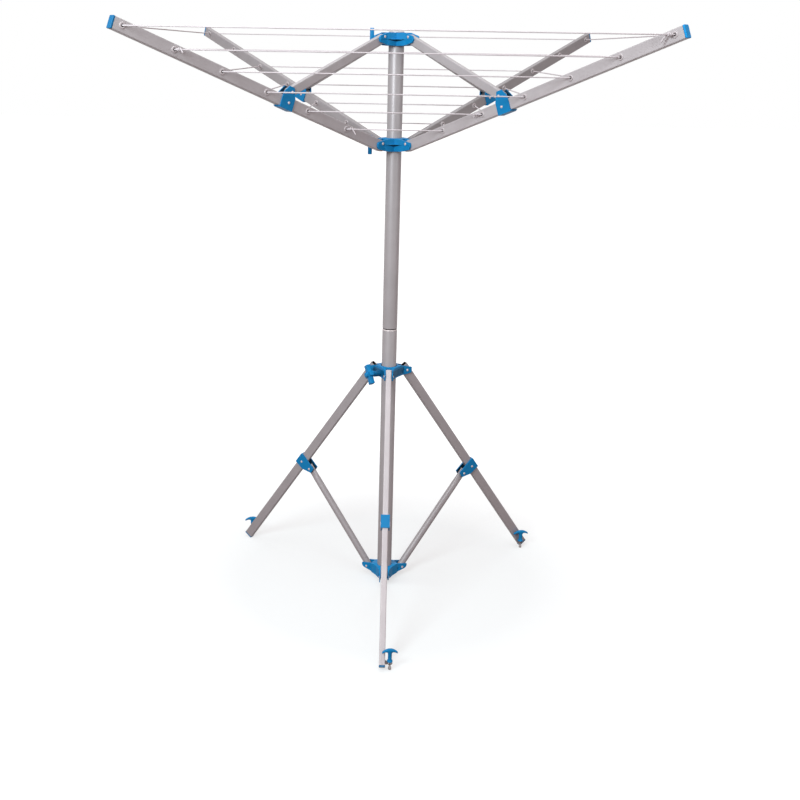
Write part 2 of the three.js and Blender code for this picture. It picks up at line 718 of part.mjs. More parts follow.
function buildHubs(object) {
  const top = mesh("top_hub", topHub(), bluePlastic());
  top.position.z = topHubPinZ;
  const sliding = mesh("sliding_hub", slidingHub(), bluePlastic());
  sliding.position.z = slidingHubPinZ;
  const topKnob = mesh("top_hub_knob", clampKnob(mastRadius + fitGap * 2), bluePlastic());
  topKnob.position.z = topHubPinZ - 5;
  const slidingKnob = mesh("sliding_hub_knob", clampKnob(mastRadius + slidingBoreGap), bluePlastic());
  slidingKnob.position.z = slidingHubPinZ - 5;
  object.add(top, sliding, topKnob, slidingKnob);
}

function buildHead(object) {
  spokes.forEach((angle, index) => {
    const number = index + 1;
    const frame = spoke(angle);
    const lever = new THREE.Group();
    lever.position.set(hubPinRadius, 0, slidingHubPinZ);
    lever.rotation.y = -armTilt;
    lever.add(mesh(`arm_${number}`, arm(), aluminium()));
    lever.add(mesh(`arm_cap_${number}`, tubeCap(armWidth, armDepth, armWall, armEnd, capRim, -armPinRise), bluePlastic()));
    lever.add(mesh(`arm_bracket_${number}`, armBracket(), bluePlastic()));
    const brace = mesh(`strut_${number}`, strut(), aluminium());
    brace.position.set(hubPinRadius, 0, topHubPinZ);
    brace.rotation.y = strutTilt;
    const pin = mesh(`arm_pin_${number}`, armPin(), rivetMetal());
    pin.position.set(hubPinRadius, 0, slidingHubPinZ);
    frame.add(lever, brace, pin);
    object.add(frame);
  });
}

function buildLines(object) {
  eyeletPlaces().forEach((reach, index) => {
    object.add(mesh(`line_${index + 1}`, lineLoop(reach, knots[index]), lineCord()));
  });
}

function buildTripod(object) {
  object.add(mesh("leg_collar", legCollar(), bluePlastic()));
  object.add(mesh("bottom_hub", bottomHub(), bluePlastic()));
  const knob = mesh("collar_knob", clampKnob(mastRadius + collarBoreGap, collarKnobRadius, 9), bluePlastic());
  knob.position.z = collarPinZ - collarKnobDrop;
  knob.rotation.set(THREE.MathUtils.degToRad(-27), 0, THREE.MathUtils.degToRad(30), "ZYX");
  object.add(knob);
  const end = stayEnds();
  const stayLength = end.length();
  legSpokes.forEach((angle, index) => {
    const number = index + 1;
    const frame = spoke(angle);
    const limb = new THREE.Group();
    limb.position.set(tripodPinRadius, 0, collarPinZ);
    limb.rotation.y = Math.PI / 2 - legTilt;
    limb.add(mesh(`leg_${number}`, leg(), aluminium()));
    limb.add(mesh(`foot_cap_${number}`, tubeCap(legWidth, legDepth, legWall, legEnd, footRim), bluePlastic()));
    limb.add(mesh(`leg_bracket_${number}`, legBracket(), bluePlastic()));
    const brace = mesh(`stay_${number}`, stay(stayLength), aluminium());
    brace.position.set(tripodPinRadius, 0, baseHubPinZ);
    brace.rotation.y = -end.angle();
    const pin = mesh(`leg_pin_${number}`, legPin(), rivetMetal());
    pin.position.set(tripodPinRadius, 0, collarPinZ);
    frame.add(limb, brace, pin);
    object.add(frame);
  });
}

function buildPegs(object) {
  const turns = [108, -16, 36].map(THREE.MathUtils.degToRad);
  legSpokes.forEach((angle, index) => {
    const number = index + 1;
    const frame = spoke(angle);
    frame.add(mesh(`peg_plate_${number}`, pegPlate(pegSides[index], pegAt[index]), steel()));
    const handle = mesh(`peg_handle_${number}`, pegHandle(), bluePlastic());
    handle.position.set(pegAt[index], pegSides[index] * pegOffset, 0);
    handle.rotation.z = turns[index];
    const spike = mesh(`peg_spike_${number}`, pegSpike(), steel());
    spike.position.set(pegAt[index], pegSides[index] * pegOffset, 0);
    frame.add(handle, spike);
    object.add(frame);
  });
}

const clothesline = new THREE.Group();
clothesline.name = "rotary_clothesline";
buildMast(clothesline);
buildHubs(clothesline);
buildHead(clothesline);
buildLines(clothesline);
buildTripod(clothesline);
buildPegs(clothesline);

export default clothesline;
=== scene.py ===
# %% [markdown]
# # A portable rotary clothesline
# The real thing is a two-part aluminium mast on a folding tripod. At the top, four arms fold out like an
# umbrella and carry six square rings of line. Nearly everything is drawn tube, blue moulding and white
# cord, so the work here is in clean edges, honest metal and the small fittings: rivets, eyelets, knots
# and knobs.
#
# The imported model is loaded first, as a fixed frame in metres. Every piece made below sits in that frame.

# %% Load the frame and note its size
import math

import bpy
from mathutils import Euler, Matrix, Vector


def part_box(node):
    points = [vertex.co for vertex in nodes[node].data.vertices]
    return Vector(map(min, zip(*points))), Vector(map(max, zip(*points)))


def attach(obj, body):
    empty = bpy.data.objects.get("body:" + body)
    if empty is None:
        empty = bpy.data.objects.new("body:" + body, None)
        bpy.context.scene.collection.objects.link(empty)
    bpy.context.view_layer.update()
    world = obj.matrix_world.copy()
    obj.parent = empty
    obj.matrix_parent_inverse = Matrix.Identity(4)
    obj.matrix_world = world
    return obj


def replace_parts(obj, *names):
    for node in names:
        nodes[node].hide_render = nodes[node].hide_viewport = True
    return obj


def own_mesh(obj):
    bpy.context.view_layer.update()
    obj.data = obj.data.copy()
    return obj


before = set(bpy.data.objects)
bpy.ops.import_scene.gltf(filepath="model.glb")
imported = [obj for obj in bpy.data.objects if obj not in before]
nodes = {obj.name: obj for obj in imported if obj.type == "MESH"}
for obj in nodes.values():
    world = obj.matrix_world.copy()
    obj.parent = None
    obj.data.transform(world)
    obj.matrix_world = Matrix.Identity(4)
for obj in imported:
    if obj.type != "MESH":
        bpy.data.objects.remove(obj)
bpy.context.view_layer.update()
bpy.ops.object.select_all(action="DESELECT")

# %% [markdown]
# ## The camera
# It stands a little under the height of the mast's top and looks slightly down, so the nearest leg seems to
# drop away under the mast. The lens and a small shift keep the whole clothesline in a square picture.

# %% Place the camera
camera_spot = (0, -2.8963, 1.4764)
looks_down, looks_left, leans = 12.73, 1.57, 0.99

camera_data = bpy.data.cameras.new("camera")
camera_data.sensor_width = 36
camera_data.lens = 49.33
camera_data.shift_x = 0.0485
camera_data.shift_y = -0.1286
camera = bpy.data.objects.new("camera", camera_data)
bpy.context.scene.collection.objects.link(camera)
aim = Euler((math.radians(90 - looks_down), 0, math.radians(looks_left))).to_matrix().to_4x4()
roll = Matrix.Rotation(math.radians(leans), 4, "Z")
camera.matrix_world = Matrix.Translation(camera_spot) @ aim @ roll
bpy.context.scene.camera = camera
print("camera at", tuple(round(v, 3) for v in camera.location))

# %% [markdown]
# ## Where things are
# A few sizes of the real clothesline are named once, in metres, and every fitting is placed from them and
# from the pivots of the frame. A pin is named by its reach from the mast's axis and its height. An arm
# and a leg each get a matrix: x runs along the tube from its pivot, y runs across it and z stands up from
# its upper face. Working in the tube's own directions is simpler than working out every slanted place by
# hand.

# %% Name the sizes and the places
mast_radius = 0.02
head_pin_reach, slider_pin_height, top_pin_height = 0.0536, 1.24, 1.509
leg_pin_reach, collar_pin_height, base_pin_height = 0.0522, 0.615, 0.0252
arm_tilt, leg_tilt = math.radians(20.4), math.radians(35.46)
strut_run, strut_drop = 0.302, 0.1345
arm_tip = 0.8316
arm_centre = -0.0059
eyelets = [0.1305 + 0.135 * n for n in range(6)]
eyelet_rise = arm_centre + 0.0015
stay_pin = (0.3945, 0, -0.0316)
arm_angles = [math.radians(a) for a in (45, 135, 225, 315)]
leg_angles = [math.radians(a) for a in (270, 30, 150)]
arm_bodies = ["arm_a", "arm_b", "arm_c", "arm_d"]
leg_bodies = ["leg_a", "leg_b", "leg_c"]
stay_bodies = ["stay_a", "stay_b", "stay_c"]


def spoke(angle):
    return Matrix.Rotation(angle, 4, "Z")


def moved(x, y, z):
    return Matrix.Translation((x, y, z))


def arm_place(index):
    pin = moved(head_pin_reach, 0, slider_pin_height)
    return spoke(arm_angles[index]) @ pin @ Matrix.Rotation(-arm_tilt, 4, "Y")


def strut_place(index):
    pin = moved(head_pin_reach, 0, top_pin_height)
    return spoke(arm_angles[index]) @ pin @ Matrix.Rotation(math.atan2(strut_drop, strut_run), 4, "Y")


def leg_place(index):
    pin = moved(leg_pin_reach, 0, collar_pin_height)
    return spoke(leg_angles[index]) @ pin @ Matrix.Rotation(math.pi / 2 - leg_tilt, 4, "Y")


print("arm 1 tip:", [round(v, 3) for v in arm_place(0) @ Vector((arm_tip, 0, 0))])

# %% [markdown]
# ## Helpers for making pieces
# A fitting that is round, such as a rivet or a ring, is drawn as a maker turns it: start from a circle
# and extrude it section by section. A Screw modifier on an outline would do as well, but extruding also
# lets a round tube go flat, which the stays need. A finished piece keeps its place in its mesh, so
# `settle` moves the mesh and leaves the object at the origin.

# %% Helpers
def alone(piece):
    bpy.ops.object.select_all(action="DESELECT")
    piece.select_set(True)
    bpy.context.view_layer.objects.active = piece
    return piece


def settle(piece, place):
    """Puts the piece's place in its mesh."""
    piece.data.transform(place @ piece.matrix_world)
    piece.matrix_world = Matrix.Identity(4)
    piece.data.update()
    return piece


def turned(name, sections, sides=24, closed=False):
    """Extrudes a circle through (radius x, radius y, height) sections. A closed one ends where it began."""
    rx, ry, z = sections[0]
    fill = "NOTHING" if closed else "NGON"
    bpy.ops.mesh.primitive_circle_add(vertices=sides, radius=rx, fill_type=fill, location=(0, 0, z))
    piece = bpy.context.object
    piece.name = name
    bpy.context.tool_settings.mesh_select_mode = (True, False, False)
    bpy.ops.object.mode_set(mode="EDIT")
    bpy.ops.mesh.select_all(action="SELECT")
    bpy.ops.transform.resize(value=(1, ry / rx, 1), center_override=(0, 0, z))
    for nx, ny, nz in sections[1:]:
        bpy.ops.mesh.extrude_region_move(TRANSFORM_OT_translate={"value": (0, 0, nz - z)})
        bpy.ops.transform.resize(value=(nx / rx, ny / ry, 1), center_override=(0, 0, nz))
        rx, ry, z = nx, ny, nz
    bpy.ops.mesh.select_all(action="SELECT")
    bpy.ops.mesh.remove_doubles(threshold=1e-6)
    bpy.ops.mesh.normals_make_consistent(inside=False)
    bpy.ops.object.mode_set(mode="OBJECT")
    return settle(piece, Matrix.Identity(4))


def round_piece(name, outline, sides=24, closed=False):
    """Turns a piece from (radius, height) points."""
    return turned(name, [(radius, radius, height) for radius, height in outline], sides, closed)


def copy_of(piece, name, place):
    twin = piece.copy()
    twin.data = piece.data.copy()
    twin.name = name
    bpy.context.scene.collection.objects.link(twin)
    twin.data.transform(place)
    return twin


def joined(name, pieces):
    bpy.ops.object.select_all(action="DESELECT")
    for piece in pieces:
        piece.select_set(True)
    bpy.context.view_layer.objects.active = pieces[0]
    if len(pieces) > 1:
        bpy.ops.object.join()
    pieces[0].name = name
    return pieces[0]


def smooth(piece, angle=35):
    alone(piece)
    bpy.ops.object.shade_smooth_by_angle(angle=math.radians(angle))
    return piece


def dress(piece, material, body):
    piece.data.materials.clear()
    piece.data.materials.append(material)
    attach(piece, body)
    return piece


def discard(piece):
    bpy.data.objects.remove(piece, do_unlink=True)


# %% [markdown]
# ## Shared surface effects
# Two effects come back in several finishes, so each is a node group that is built once. One makes the faint
# lengthwise lines that a die leaves on drawn tube. The other makes the slow cloudiness and fine grain of a
# handled surface. Both are noise, because a regular pattern would show its repeats.

# %% Build the shared node groups
def new_group(name, inputs, outputs):
    group = bpy.data.node_groups.new(name, "ShaderNodeTree")
    for label, kind, value in inputs:
        socket = group.interface.new_socket(label, in_out="INPUT", socket_type=kind)
        if value is not None:
            socket.default_value = value
    for label, kind in outputs:
        group.interface.new_socket(label, in_out="OUTPUT", socket_type=kind)
    return group, group.nodes.new("NodeGroupInput"), group.nodes.new("NodeGroupOutput")


def drawn_lines():
    """Die lines along x: high noise across the tube, very slow along it."""
    group, given, out = new_group(
        "drawn lines",
        [("Vector", "NodeSocketVector", None), ("Fineness", "NodeSocketFloat", 900)],
        [("Lines", "NodeSocketFloat"), ("Clouds", "NodeSocketFloat")],
    )
    add, link = group.nodes.new, group.links.new
    stretch = add("ShaderNodeVectorMath")
    stretch.operation = "MULTIPLY"
    stretch.inputs[1].default_value = (0.006, 1, 1)
    lines = add("ShaderNodeTexNoise")
    lines.inputs["Detail"].default_value = 3
    clouds = add("ShaderNodeTexNoise")
    clouds.inputs["Scale"].default_value = 22
    clouds.inputs["Detail"].default_value = 4
    link(given.outputs["Vector"], stretch.inputs[0])
    link(stretch.outputs[0], lines.inputs["Vector"])
    link(given.outputs["Fineness"], lines.inputs["Scale"])
    link(given.outputs["Vector"], clouds.inputs["Vector"])
    link(lines.outputs["Fac"], out.inputs["Lines"])
    link(clouds.outputs["Fac"], out.inputs["Clouds"])
    return group


def handled_surface():
    """Slow patches for colour and gloss, and a fine grain for the bump."""
    sizes = [("Patch", "NodeSocketFloat", 30), ("Grain", "NodeSocketFloat", 1400)]
    group, given, out = new_group(
        "handled surface",
        [("Vector", "NodeSocketVector", None), *sizes],
        [("Patches", "NodeSocketFloat"), ("Grain", "NodeSocketFloat")],
    )
    add, link = group.nodes.new, group.links.new
    patches = add("ShaderNodeTexNoise")
    patches.inputs["Detail"].default_value = 5
    grain = add("ShaderNodeTexNoise")
    grain.inputs["Detail"].default_value = 2
    for texture, size in ((patches, "Patch"), (grain, "Grain")):
        link(given.outputs["Vector"], texture.inputs["Vector"])
        link(given.outputs[size], texture.inputs["Scale"])
    link(patches.outputs["Fac"], out.inputs["Patches"])
    link(grain.outputs["Fac"], out.inputs["Grain"])
    return group


lines_group = drawn_lines()
surface_group = handled_surface()
print("node groups:", [g.name for g in bpy.data.node_groups])

# %% [markdown]
# ## Small steps in a node tree
# A finish is built from the same few steps: mix two tones, spread a mask over a range, compare a value
# with a limit. Each step is a helper that returns the socket to go on from, so that a finish reads as a
# short recipe. A Bevel node rounds the light on every edge, because no real edge is a knife. It costs no
# faces.

# %% Material helpers
def new_material(name):
    material = bpy.data.materials.new(name)
    material.use_nodes = True
    tree = material.node_tree
    return material, tree, tree.nodes["Principled BSDF"]


def ramp(tree, source, low, high):
    """Colour between two tones, by a mask."""
    mix = tree.nodes.new("ShaderNodeMix")
    mix.data_type = "RGBA"
    mix.inputs["A"].default_value = (*low, 1)
    mix.inputs["B"].default_value = (*high, 1)
    tree.links.new(source, mix.inputs["Factor"])
    return mix.outputs["Result"]


def shaded(tree, colour, mask, tone):
    """A colour that turns to `tone` where the mask is one."""
    mix = tree.nodes.new("ShaderNodeMix")
    mix.data_type = "RGBA"
    mix.inputs["B"].default_value = (*tone, 1)
    tree.links.new(mask, mix.inputs["Factor"])
    tree.links.new(colour, mix.inputs["A"])
    return mix.outputs["Result"]


def spread(tree, source, low, high, start=0.3, end=0.7):
    """Carries the range from `start` to `end` over to the range from `low` to `high`."""
    node = tree.nodes.new("ShaderNodeMapRange")
    node.inputs["From Min"].default_value = start
    node.inputs["From Max"].default_value = end
    node.inputs["To Min"].default_value = low
    node.inputs["To Max"].default_value = high
    tree.links.new(source, node.inputs["Value"])
    return node.outputs["Result"]


def rounded_bump(tree, shader, height, strength, distance, edge):
    """Edges rounded by `edge` metres, with a fine bump on top."""
    bevel = tree.nodes.new("ShaderNodeBevel")
    bevel.samples = 6
    bevel.inputs["Radius"].default_value = edge
    bump = tree.nodes.new("ShaderNodeBump")
    bump.inputs["Strength"].default_value = strength
    bump.inputs["Distance"].default_value = distance
    tree.links.new(bevel.outputs["Normal"], bump.inputs["Normal"])
    tree.links.new(height, bump.inputs["Height"])
    tree.links.new(bump.outputs["Normal"], shader.inputs["Normal"])


def step(tree, operation, first, second=None):
    """One sum on two values, each a socket or a number."""
    node = tree.nodes.new("ShaderNodeMath")
    node.operation = operation
    for socket, value in zip(node.inputs, (first, second)):
        if hasattr(value, "is_linked"):
            tree.links.new(value, socket)
        elif value is not None:
            socket.default_value = value
    return node.outputs["Value"]


def all_of(tree, *masks):
    """A mask that is one where all of the masks are one."""
    whole = masks[0]
    for mask in masks[1:]:
        whole = step(tree, "MULTIPLY", whole, mask)
    return whole


def any_of(tree, *masks):
    """A mask that is one where any of the masks is one."""
    whole = masks[0]
    for mask in masks[1:]:
        whole = step(tree, "MAXIMUM", whole, mask)
    return whole


def between(tree, value, low, high):
    return all_of(tree, step(tree, "GREATER_THAN", value, low), step(tree, "LESS_THAN", value, high))


def towards(tree, vector, direction):
    """How far a point lies along a direction."""
    node = tree.nodes.new("ShaderNodeVectorMath")
    node.operation = "DOT_PRODUCT"
    node.inputs[1].default_value = direction
    tree.links.new(vector, node.inputs[0])
    return node.outputs["Value"]


def length_of(tree, vector):
    node = tree.nodes.new("ShaderNodeVectorMath")
    node.operation = "LENGTH"
    tree.links.new(vector, node.inputs[0])
    return node.outputs["Value"]


def outward(angle):
    return math.cos(angle), math.sin(angle), 0


def sideways(angle):
    return -math.sin(angle), math.cos(angle), 0


# %% [markdown]
# ## Masks for shade
# The slots of the brackets, the crease under the webs and the pockets of the collar are too narrow for
# enough shade to gather by itself. Cutting them deeper would change the solids, so each gets painted shade
# from a mask. The open ends of the legs get painted shade the same way, and the top edge of the lower mast a
# painted highlight. A mask is worked out from where a point lies, in the frame's own metres, so no image
# texture is needed.

# %% Mask helpers
hub_wall = 0.022


def hollow_mask(tree, vector, hollow):
    """Masks the inside of a tube along x, from its half sizes across y and z."""
    inside = []
    for way, half in zip(((0, 1, 0), (0, 0, 1)), hollow):
        off = step(tree, "ABSOLUTE", towards(tree, vector, way))
        inside.append(step(tree, "LESS_THAN", off, half))
    return all_of(tree, *inside)


def slot_mask(tree, vector, angle, half, normal, height):
    """Masks a bracket's slot: nearer than `half` to the spoke at `angle`, and past a plane."""
    off = step(tree, "ABSOLUTE", towards(tree, vector, sideways(angle)))
    past = step(tree, "GREATER_THAN", towards(tree, vector, normal), height)
    return all_of(tree, step(tree, "LESS_THAN", off, half), past)


def band_mask(tree, vector, low, high, near, far):
    """Masks a band of height from `low` to `high`, between two distances from the mast's axis."""
    flat = tree.nodes.new("ShaderNodeVectorMath")
    flat.operation = "MULTIPLY"
    flat.inputs[1].default_value = (1, 1, 0)
    tree.links.new(vector, flat.inputs[0])
    reach = length_of(tree, flat.outputs[0])
    height = towards(tree, vector, (0, 0, 1))
    return all_of(tree, between(tree, reach, near, far), between(tree, height, low, high))


def web_mask(tree, vector, angles, height, half, depth):
    """Masks the shade under each web: flat on top at `height`, bowed below, at each of `angles`."""
    rise = towards(tree, vector, (0, 0, 1))
    under = step(tree, "LESS_THAN", rise, height)
    shades = []
    for angle in angles:
        off = towards(tree, vector, sideways(angle))
        bow = step(tree, "MULTIPLY", step(tree, "MULTIPLY", off, off), -depth / half ** 2)
        inside = step(tree, "GREATER_THAN", step(tree, "ADD", rise, bow), height - depth)
        ahead = step(tree, "GREATER_THAN", towards(tree, vector, outward(angle)), hub_wall)
        shades.append(all_of(tree, inside, under, ahead))
    return any_of(tree, *shades)


# %% [markdown]
# ## Finishes
# The tube is mill-finish aluminium: soft, slightly warm grey, with die lines that follow the tube. The
# pattern is turned onto each tube by a Mapping node. Each tube's colour is also made lighter or darker on
# its own, set for the camera's side: painted light and shade for how the light falls on that tube. The
# mouldings are a clear mid blue with a low gloss. A cast or a stamped part is a little cloudy. The cord is
# braided, so slanting strands run over it.

# %% Finish helpers
tube_tones = ((0.39, 0.387, 0.396), (0.488, 0.484, 0.495))
# Painted shade inside the legs' open ends, and a painted highlight on the lower mast's top edge.
hollow_painted_shade, rim_painted_highlight = (0.02, 0.018, 0.018), (0.7, 0.67, 0.67)
cord_tones = ((0.57, 0.56, 0.58), (0.72, 0.705, 0.725))


# Makes both tones lighter or darker together; every use here is painted light or shade for one part.
def toned(tones, painted_light):
    return [[painted_light * c for c in tone] for tone in tones]


def effect_node(tree, group, vector):
    node = tree.nodes.new("ShaderNodeGroup")
    node.node_tree = group
    tree.links.new(vector, node.inputs["Vector"])
    return node


def tube_finish(name, place, painted_light=1.0, edge=0.0012, metallic=0.1, hollow=None, rim=None):
    """Drawn aluminium, lines along x of `place`, painted shade inside `hollow`, a painted highlight at
    `rim`.
    """
    material, tree, shader = new_material(name)
    where = tree.nodes.new("ShaderNodeTexCoord").outputs["Object"]
    turn = tree.nodes.new("ShaderNodeMapping")
    turn.vector_type = "TEXTURE"
    turn.inputs["Location"].default_value = place.translation
    turn.inputs["Rotation"].default_value = place.to_euler()
    tree.links.new(where, turn.inputs["Vector"])
    effect = effect_node(tree, lines_group, turn.outputs["Vector"])
    colour = ramp(tree, effect.outputs["Clouds"], *toned(tube_tones, painted_light))
    if hollow:
        colour = shaded(tree, colour, hollow_mask(tree, turn.outputs["Vector"], hollow), hollow_painted_shade)
    if rim:
        colour = shaded(tree, colour, band_mask(tree, where, *rim), rim_painted_highlight)
    tree.links.new(colour, shader.inputs["Base Color"])
    tree.links.new(spread(tree, effect.outputs["Lines"], 0.36, 0.46), shader.inputs["Roughness"])
    shader.inputs["Metallic"].default_value = metallic
    shader.inputs["Specular IOR Level"].default_value = 0.3
    rounded_bump(tree, shader, effect.outputs["Lines"], 0.03, 0.0001, edge)
    return material


def moulded_finish(name, tones, shade=None):
    """Moulded plastic: even colour, low gloss, fine grain. `shade` is (mask helper, dark tone, sizes)."""
    material, tree, shader = new_material(name)
    where = tree.nodes.new("ShaderNodeTexCoord").outputs["Object"]
    effect = effect_node(tree, surface_group, where)
    colour = ramp(tree, effect.outputs["Patches"], *tones)
    if shade:
        mask, dark, *sizes = shade
        colour = shaded(tree, colour, mask(tree, where, *sizes), dark)
    tree.links.new(colour, shader.inputs["Base Color"])
    tree.links.new(spread(tree, effect.outputs["Patches"], 0.4, 0.52), shader.inputs["Roughness"])
    shader.inputs["Specular IOR Level"].default_value = 0.22
    rounded_bump(tree, shader, effect.outputs["Grain"], 0.08, 0.0002, 0.001)
    return material


def metal_finish(name, tones, roughness, metallic):
    """Small bright metal parts, with a little cloudiness."""
    material, tree, shader = new_material(name)
    where = tree.nodes.new("ShaderNodeTexCoord").outputs["Object"]
    effect = effect_node(tree, surface_group, where)
    effect.inputs["Patch"].default_value = 120
    tree.links.new(ramp(tree, effect.outputs["Patches"], *tones), shader.inputs["Base Color"])
    tree.links.new(spread(tree, effect.outputs["Patches"], *roughness), shader.inputs["Roughness"])
    shader.inputs["Metallic"].default_value = metallic
    rounded_bump(tree, shader, effect.outputs["Grain"], 0.1, 0.0001, 0.0006)
    return material


def cord_finish():
    """Braided cord: slanting strands, a little soiled."""
    material, tree, shader = new_material("cord sheath")
    where = tree.nodes.new("ShaderNodeTexCoord").outputs["Object"]
    strands = tree.nodes.new("ShaderNodeTexWave")
    strands.bands_direction = "DIAGONAL"
    strands.inputs["Scale"].default_value = 230
    strands.inputs["Distortion"].default_value = 1.2
    strands.inputs["Detail"].default_value = 1
    tree.links.new(where, strands.inputs["Vector"])
    effect = effect_node(tree, surface_group, where)
    effect.inputs["Patch"].default_value = 14
    tree.links.new(ramp(tree, effect.outputs["Patches"], *cord_tones), shader.inputs["Base Color"])
    shader.inputs["Roughness"].default_value = 0.75
    bump = tree.nodes.new("ShaderNodeBump")
    bump.inputs["Strength"].default_value = 0.5
    bump.inputs["Distance"].default_value = 0.0003
    tree.links.new(strands.outputs["Fac"], bump.inputs["Height"])
    tree.links.new(bump.outputs["Normal"], shader.inputs["Normal"])
    return material


# %% [markdown]
# The plain finishes are made once and shared. Each is named for the part that it is on and has two tones
# that lie close together, because a single flat colour looks painted.

# %% Make the plain finishes
blue_tones = ((0.002, 0.215, 0.5), (0.003, 0.25, 0.57))
base_blue_tones = ((0.002, 0.25, 0.58), (0.003, 0.29, 0.65))
foot_tones = ((0.02, 0.19, 0.42), (0.05, 0.23, 0.46))
rivet_tones = ((0.55, 0.48, 0.465), (0.66, 0.59, 0.575))
eyelet_tones = ((0.44, 0.42, 0.43), (0.54, 0.52, 0.53))
dark_tones = ((0.045, 0.042, 0.042), (0.07, 0.066, 0.066))
spike_tones = ((0.32, 0.305, 0.3), (0.48, 0.465, 0.455))
clip_tones = ((0.13, 0.105, 0.095), (0.24, 0.21, 0.2))

blue = moulded_finish("blue moulding", blue_tones)
foot_blue = moulded_finish("worn blue foot", foot_tones)
rivet_metal = metal_finish("rivet metal", rivet_tones, (0.3, 0.42), 0.4)
eyelet_metal = metal_finish("eyelet ring", eyelet_tones, (0.35, 0.5), 0.15)
# Dark plastic for the mast's spigot; the same finish is painted shade on the sleeves inside the eyelets.
dark_plastic_and_shade = moulded_finish("dark plastic", dark_tones)
spike_steel = metal_finish("galvanised steel", spike_tones, (0.45, 0.6), 0.35)
clip_steel = metal_finish("dull steel", clip_tones, (0.4, 0.5), 0.3)
cord_white = cord_finish()
print("finishes:", len(bpy.data.materials))

# %% [markdown]
# ## Dressing the frame's own nodes
# The rectangular tubes and the mouldings already have the right shape, so they keep their solids and only
# get a finish. Each tube's finish is turned to run along that tube. Round things, such as the mast, the
# stays, the rivets and the knobs, are made again further down, because there a smooth curve matters.

# %% Dress the tubes and mouldings
# Factors that make each arm, strut, leg and arm cap lighter or darker: painted light and shade for how the
# light falls on that part.
arm_painted_light, strut_painted_light = (0.74, 0.84, 1.04, 1.13), 0.97
leg_painted_light, leg_hollow = (1.28, 0.89, 0.89), (0.0061, 0.0111)
cap_painted_light = (1, 1, 0.66, 1.5)
# Painted shade for the slots of the brackets, the crease under the webs and the collar's pockets.
slot_painted_shade, pocket_painted_shade, crease_painted_shade = (0.001, 0.035, 0.075), (0.002, 0.11, 0.25), (0.001, 0.06, 0.13)
arm_slot_half, arm_slot_height = 0.00835, 0.0085
leg_slot_half, leg_slot_height = 0.00785, -0.0128
web_angles = [math.radians(a) for a in (0, 90, 270)]
top_web_height, slider_web_height = 1.5033, 1.2372
top_crease_size, slider_crease_size = (0.021, 0.0055), (0.016, 0.006)
pocket_near, pocket_far = 0.0262, 0.044


def give(node, material):
    data = nodes[node].data
    data.materials.clear()
    data.materials.append(material)


def plane_at(place, height, way):
    """The plane at `height` over a tube's own axis, as (normal, distance), for the side that `way` picks."""
    normal = place.to_3x3() @ Vector((0, 0, way))
    return tuple(normal), normal.dot(place @ Vector((0, 0, height)))


for n in range(4):
    give(f"arm_{n + 1}", tube_finish(f"arm {n + 1} tube", arm_place(n), arm_painted_light[n]))
    give(f"strut_{n + 1}", tube_finish(f"strut {n + 1} tube", strut_place(n), strut_painted_light))
    give(f"arm_cap_{n + 1}", moulded_finish(f"arm cap {n + 1}", toned(blue_tones, cap_painted_light[n])))
    above = plane_at(arm_place(n), arm_slot_height, 1)
    slot = (slot_mask, slot_painted_shade, arm_angles[n], arm_slot_half, *above)
    give(f"arm_bracket_{n + 1}", moulded_finish(f"arm bracket {n + 1}", blue_tones, slot))
for n in range(3):
    leg_metal = tube_finish(f"leg {n + 1} tube", leg_place(n), leg_painted_light[n], hollow=leg_hollow)
    give(f"leg_{n + 1}", leg_metal)
    below = plane_at(leg_place(n), leg_slot_height, -1)
    slot = (slot_mask, slot_painted_shade, leg_angles[n], leg_slot_half, *below)
    give(f"leg_bracket_{n + 1}", moulded_finish(f"leg bracket {n + 1}", blue_tones, slot))
    give(f"foot_cap_{n + 1}", foot_blue)
give("mast_spigot", dark_plastic_and_shade)
give("bottom_hub", moulded_finish("bottom hub", base_blue_tones))
crease = (web_mask, crease_painted_shade, web_angles, top_web_height, *top_crease_size)
give("top_hub", moulded_finish("top hub", blue_tones, crease))
crease = (web_mask, crease_painted_shade, web_angles, slider_web_height, *slider_crease_size)
give("sliding_hub", moulded_finish("sliding hub", blue_tones, crease))
collar_low, collar_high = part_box("leg_collar")
pockets = (band_mask, pocket_painted_shade, collar_low.z + 0.004, collar_high.z - 0.0085, pocket_near, pocket_far)
give("leg_collar", moulded_finish("leg collar", blue_tones, pockets))
print("collar heights:", round(collar_low.z, 4), round(collar_high.z, 4))
print("dressed nodes:", sum(1 for n in nodes.values() if n.data.materials))

# %% [markdown]
# ## The lines
# The line is a thin braided cord, pulled tight: it runs straight from arm to arm, bends where it comes out
# of an eyelet and is knotted once on every ring. When the head folds, the arms come together and the real
# cord hangs slack. So each side of a ring is made as two halves, and each half rides on its own arm. Cord is
# easiest to make as a curve with a round bevel.

# %% A helper that makes cord
line_radius, line_bend = 0.0015, 0.0096


def cord_piece(name, points, radius=line_radius, rounds=3):
    data = bpy.data.curves.new(name, "CURVE")
    data.dimensions = "3D"
    data.bevel_depth = radius
    data.bevel_resolution = rounds
    data.use_fill_caps = True
    spline = data.splines.new("POLY")
    spline.points.add(len(points) - 1)
    for point, place in zip(spline.points, points):
        point.co = (*place, 1)
    piece = bpy.data.objects.new(name, data)
    bpy.context.scene.collection.objects.link(piece)
    alone(piece)
    bpy.ops.object.convert(target="MESH")
    return smooth(bpy.context.object, 60)


# %% [markdown]
# The knot is a cord wound twice round the line, with a short tail. It is joined to the half it is tied in. A
# ball would be quicker to make, but the wound cord gives the right lumps.

# %% A helper that draws one knot
knot_radius, knot_wind, knot_pitch = 0.00145, 0.0029, 0.00033
knot_points_per_turn, knot_point_count = 12, 27
tail_sag = 0.0022


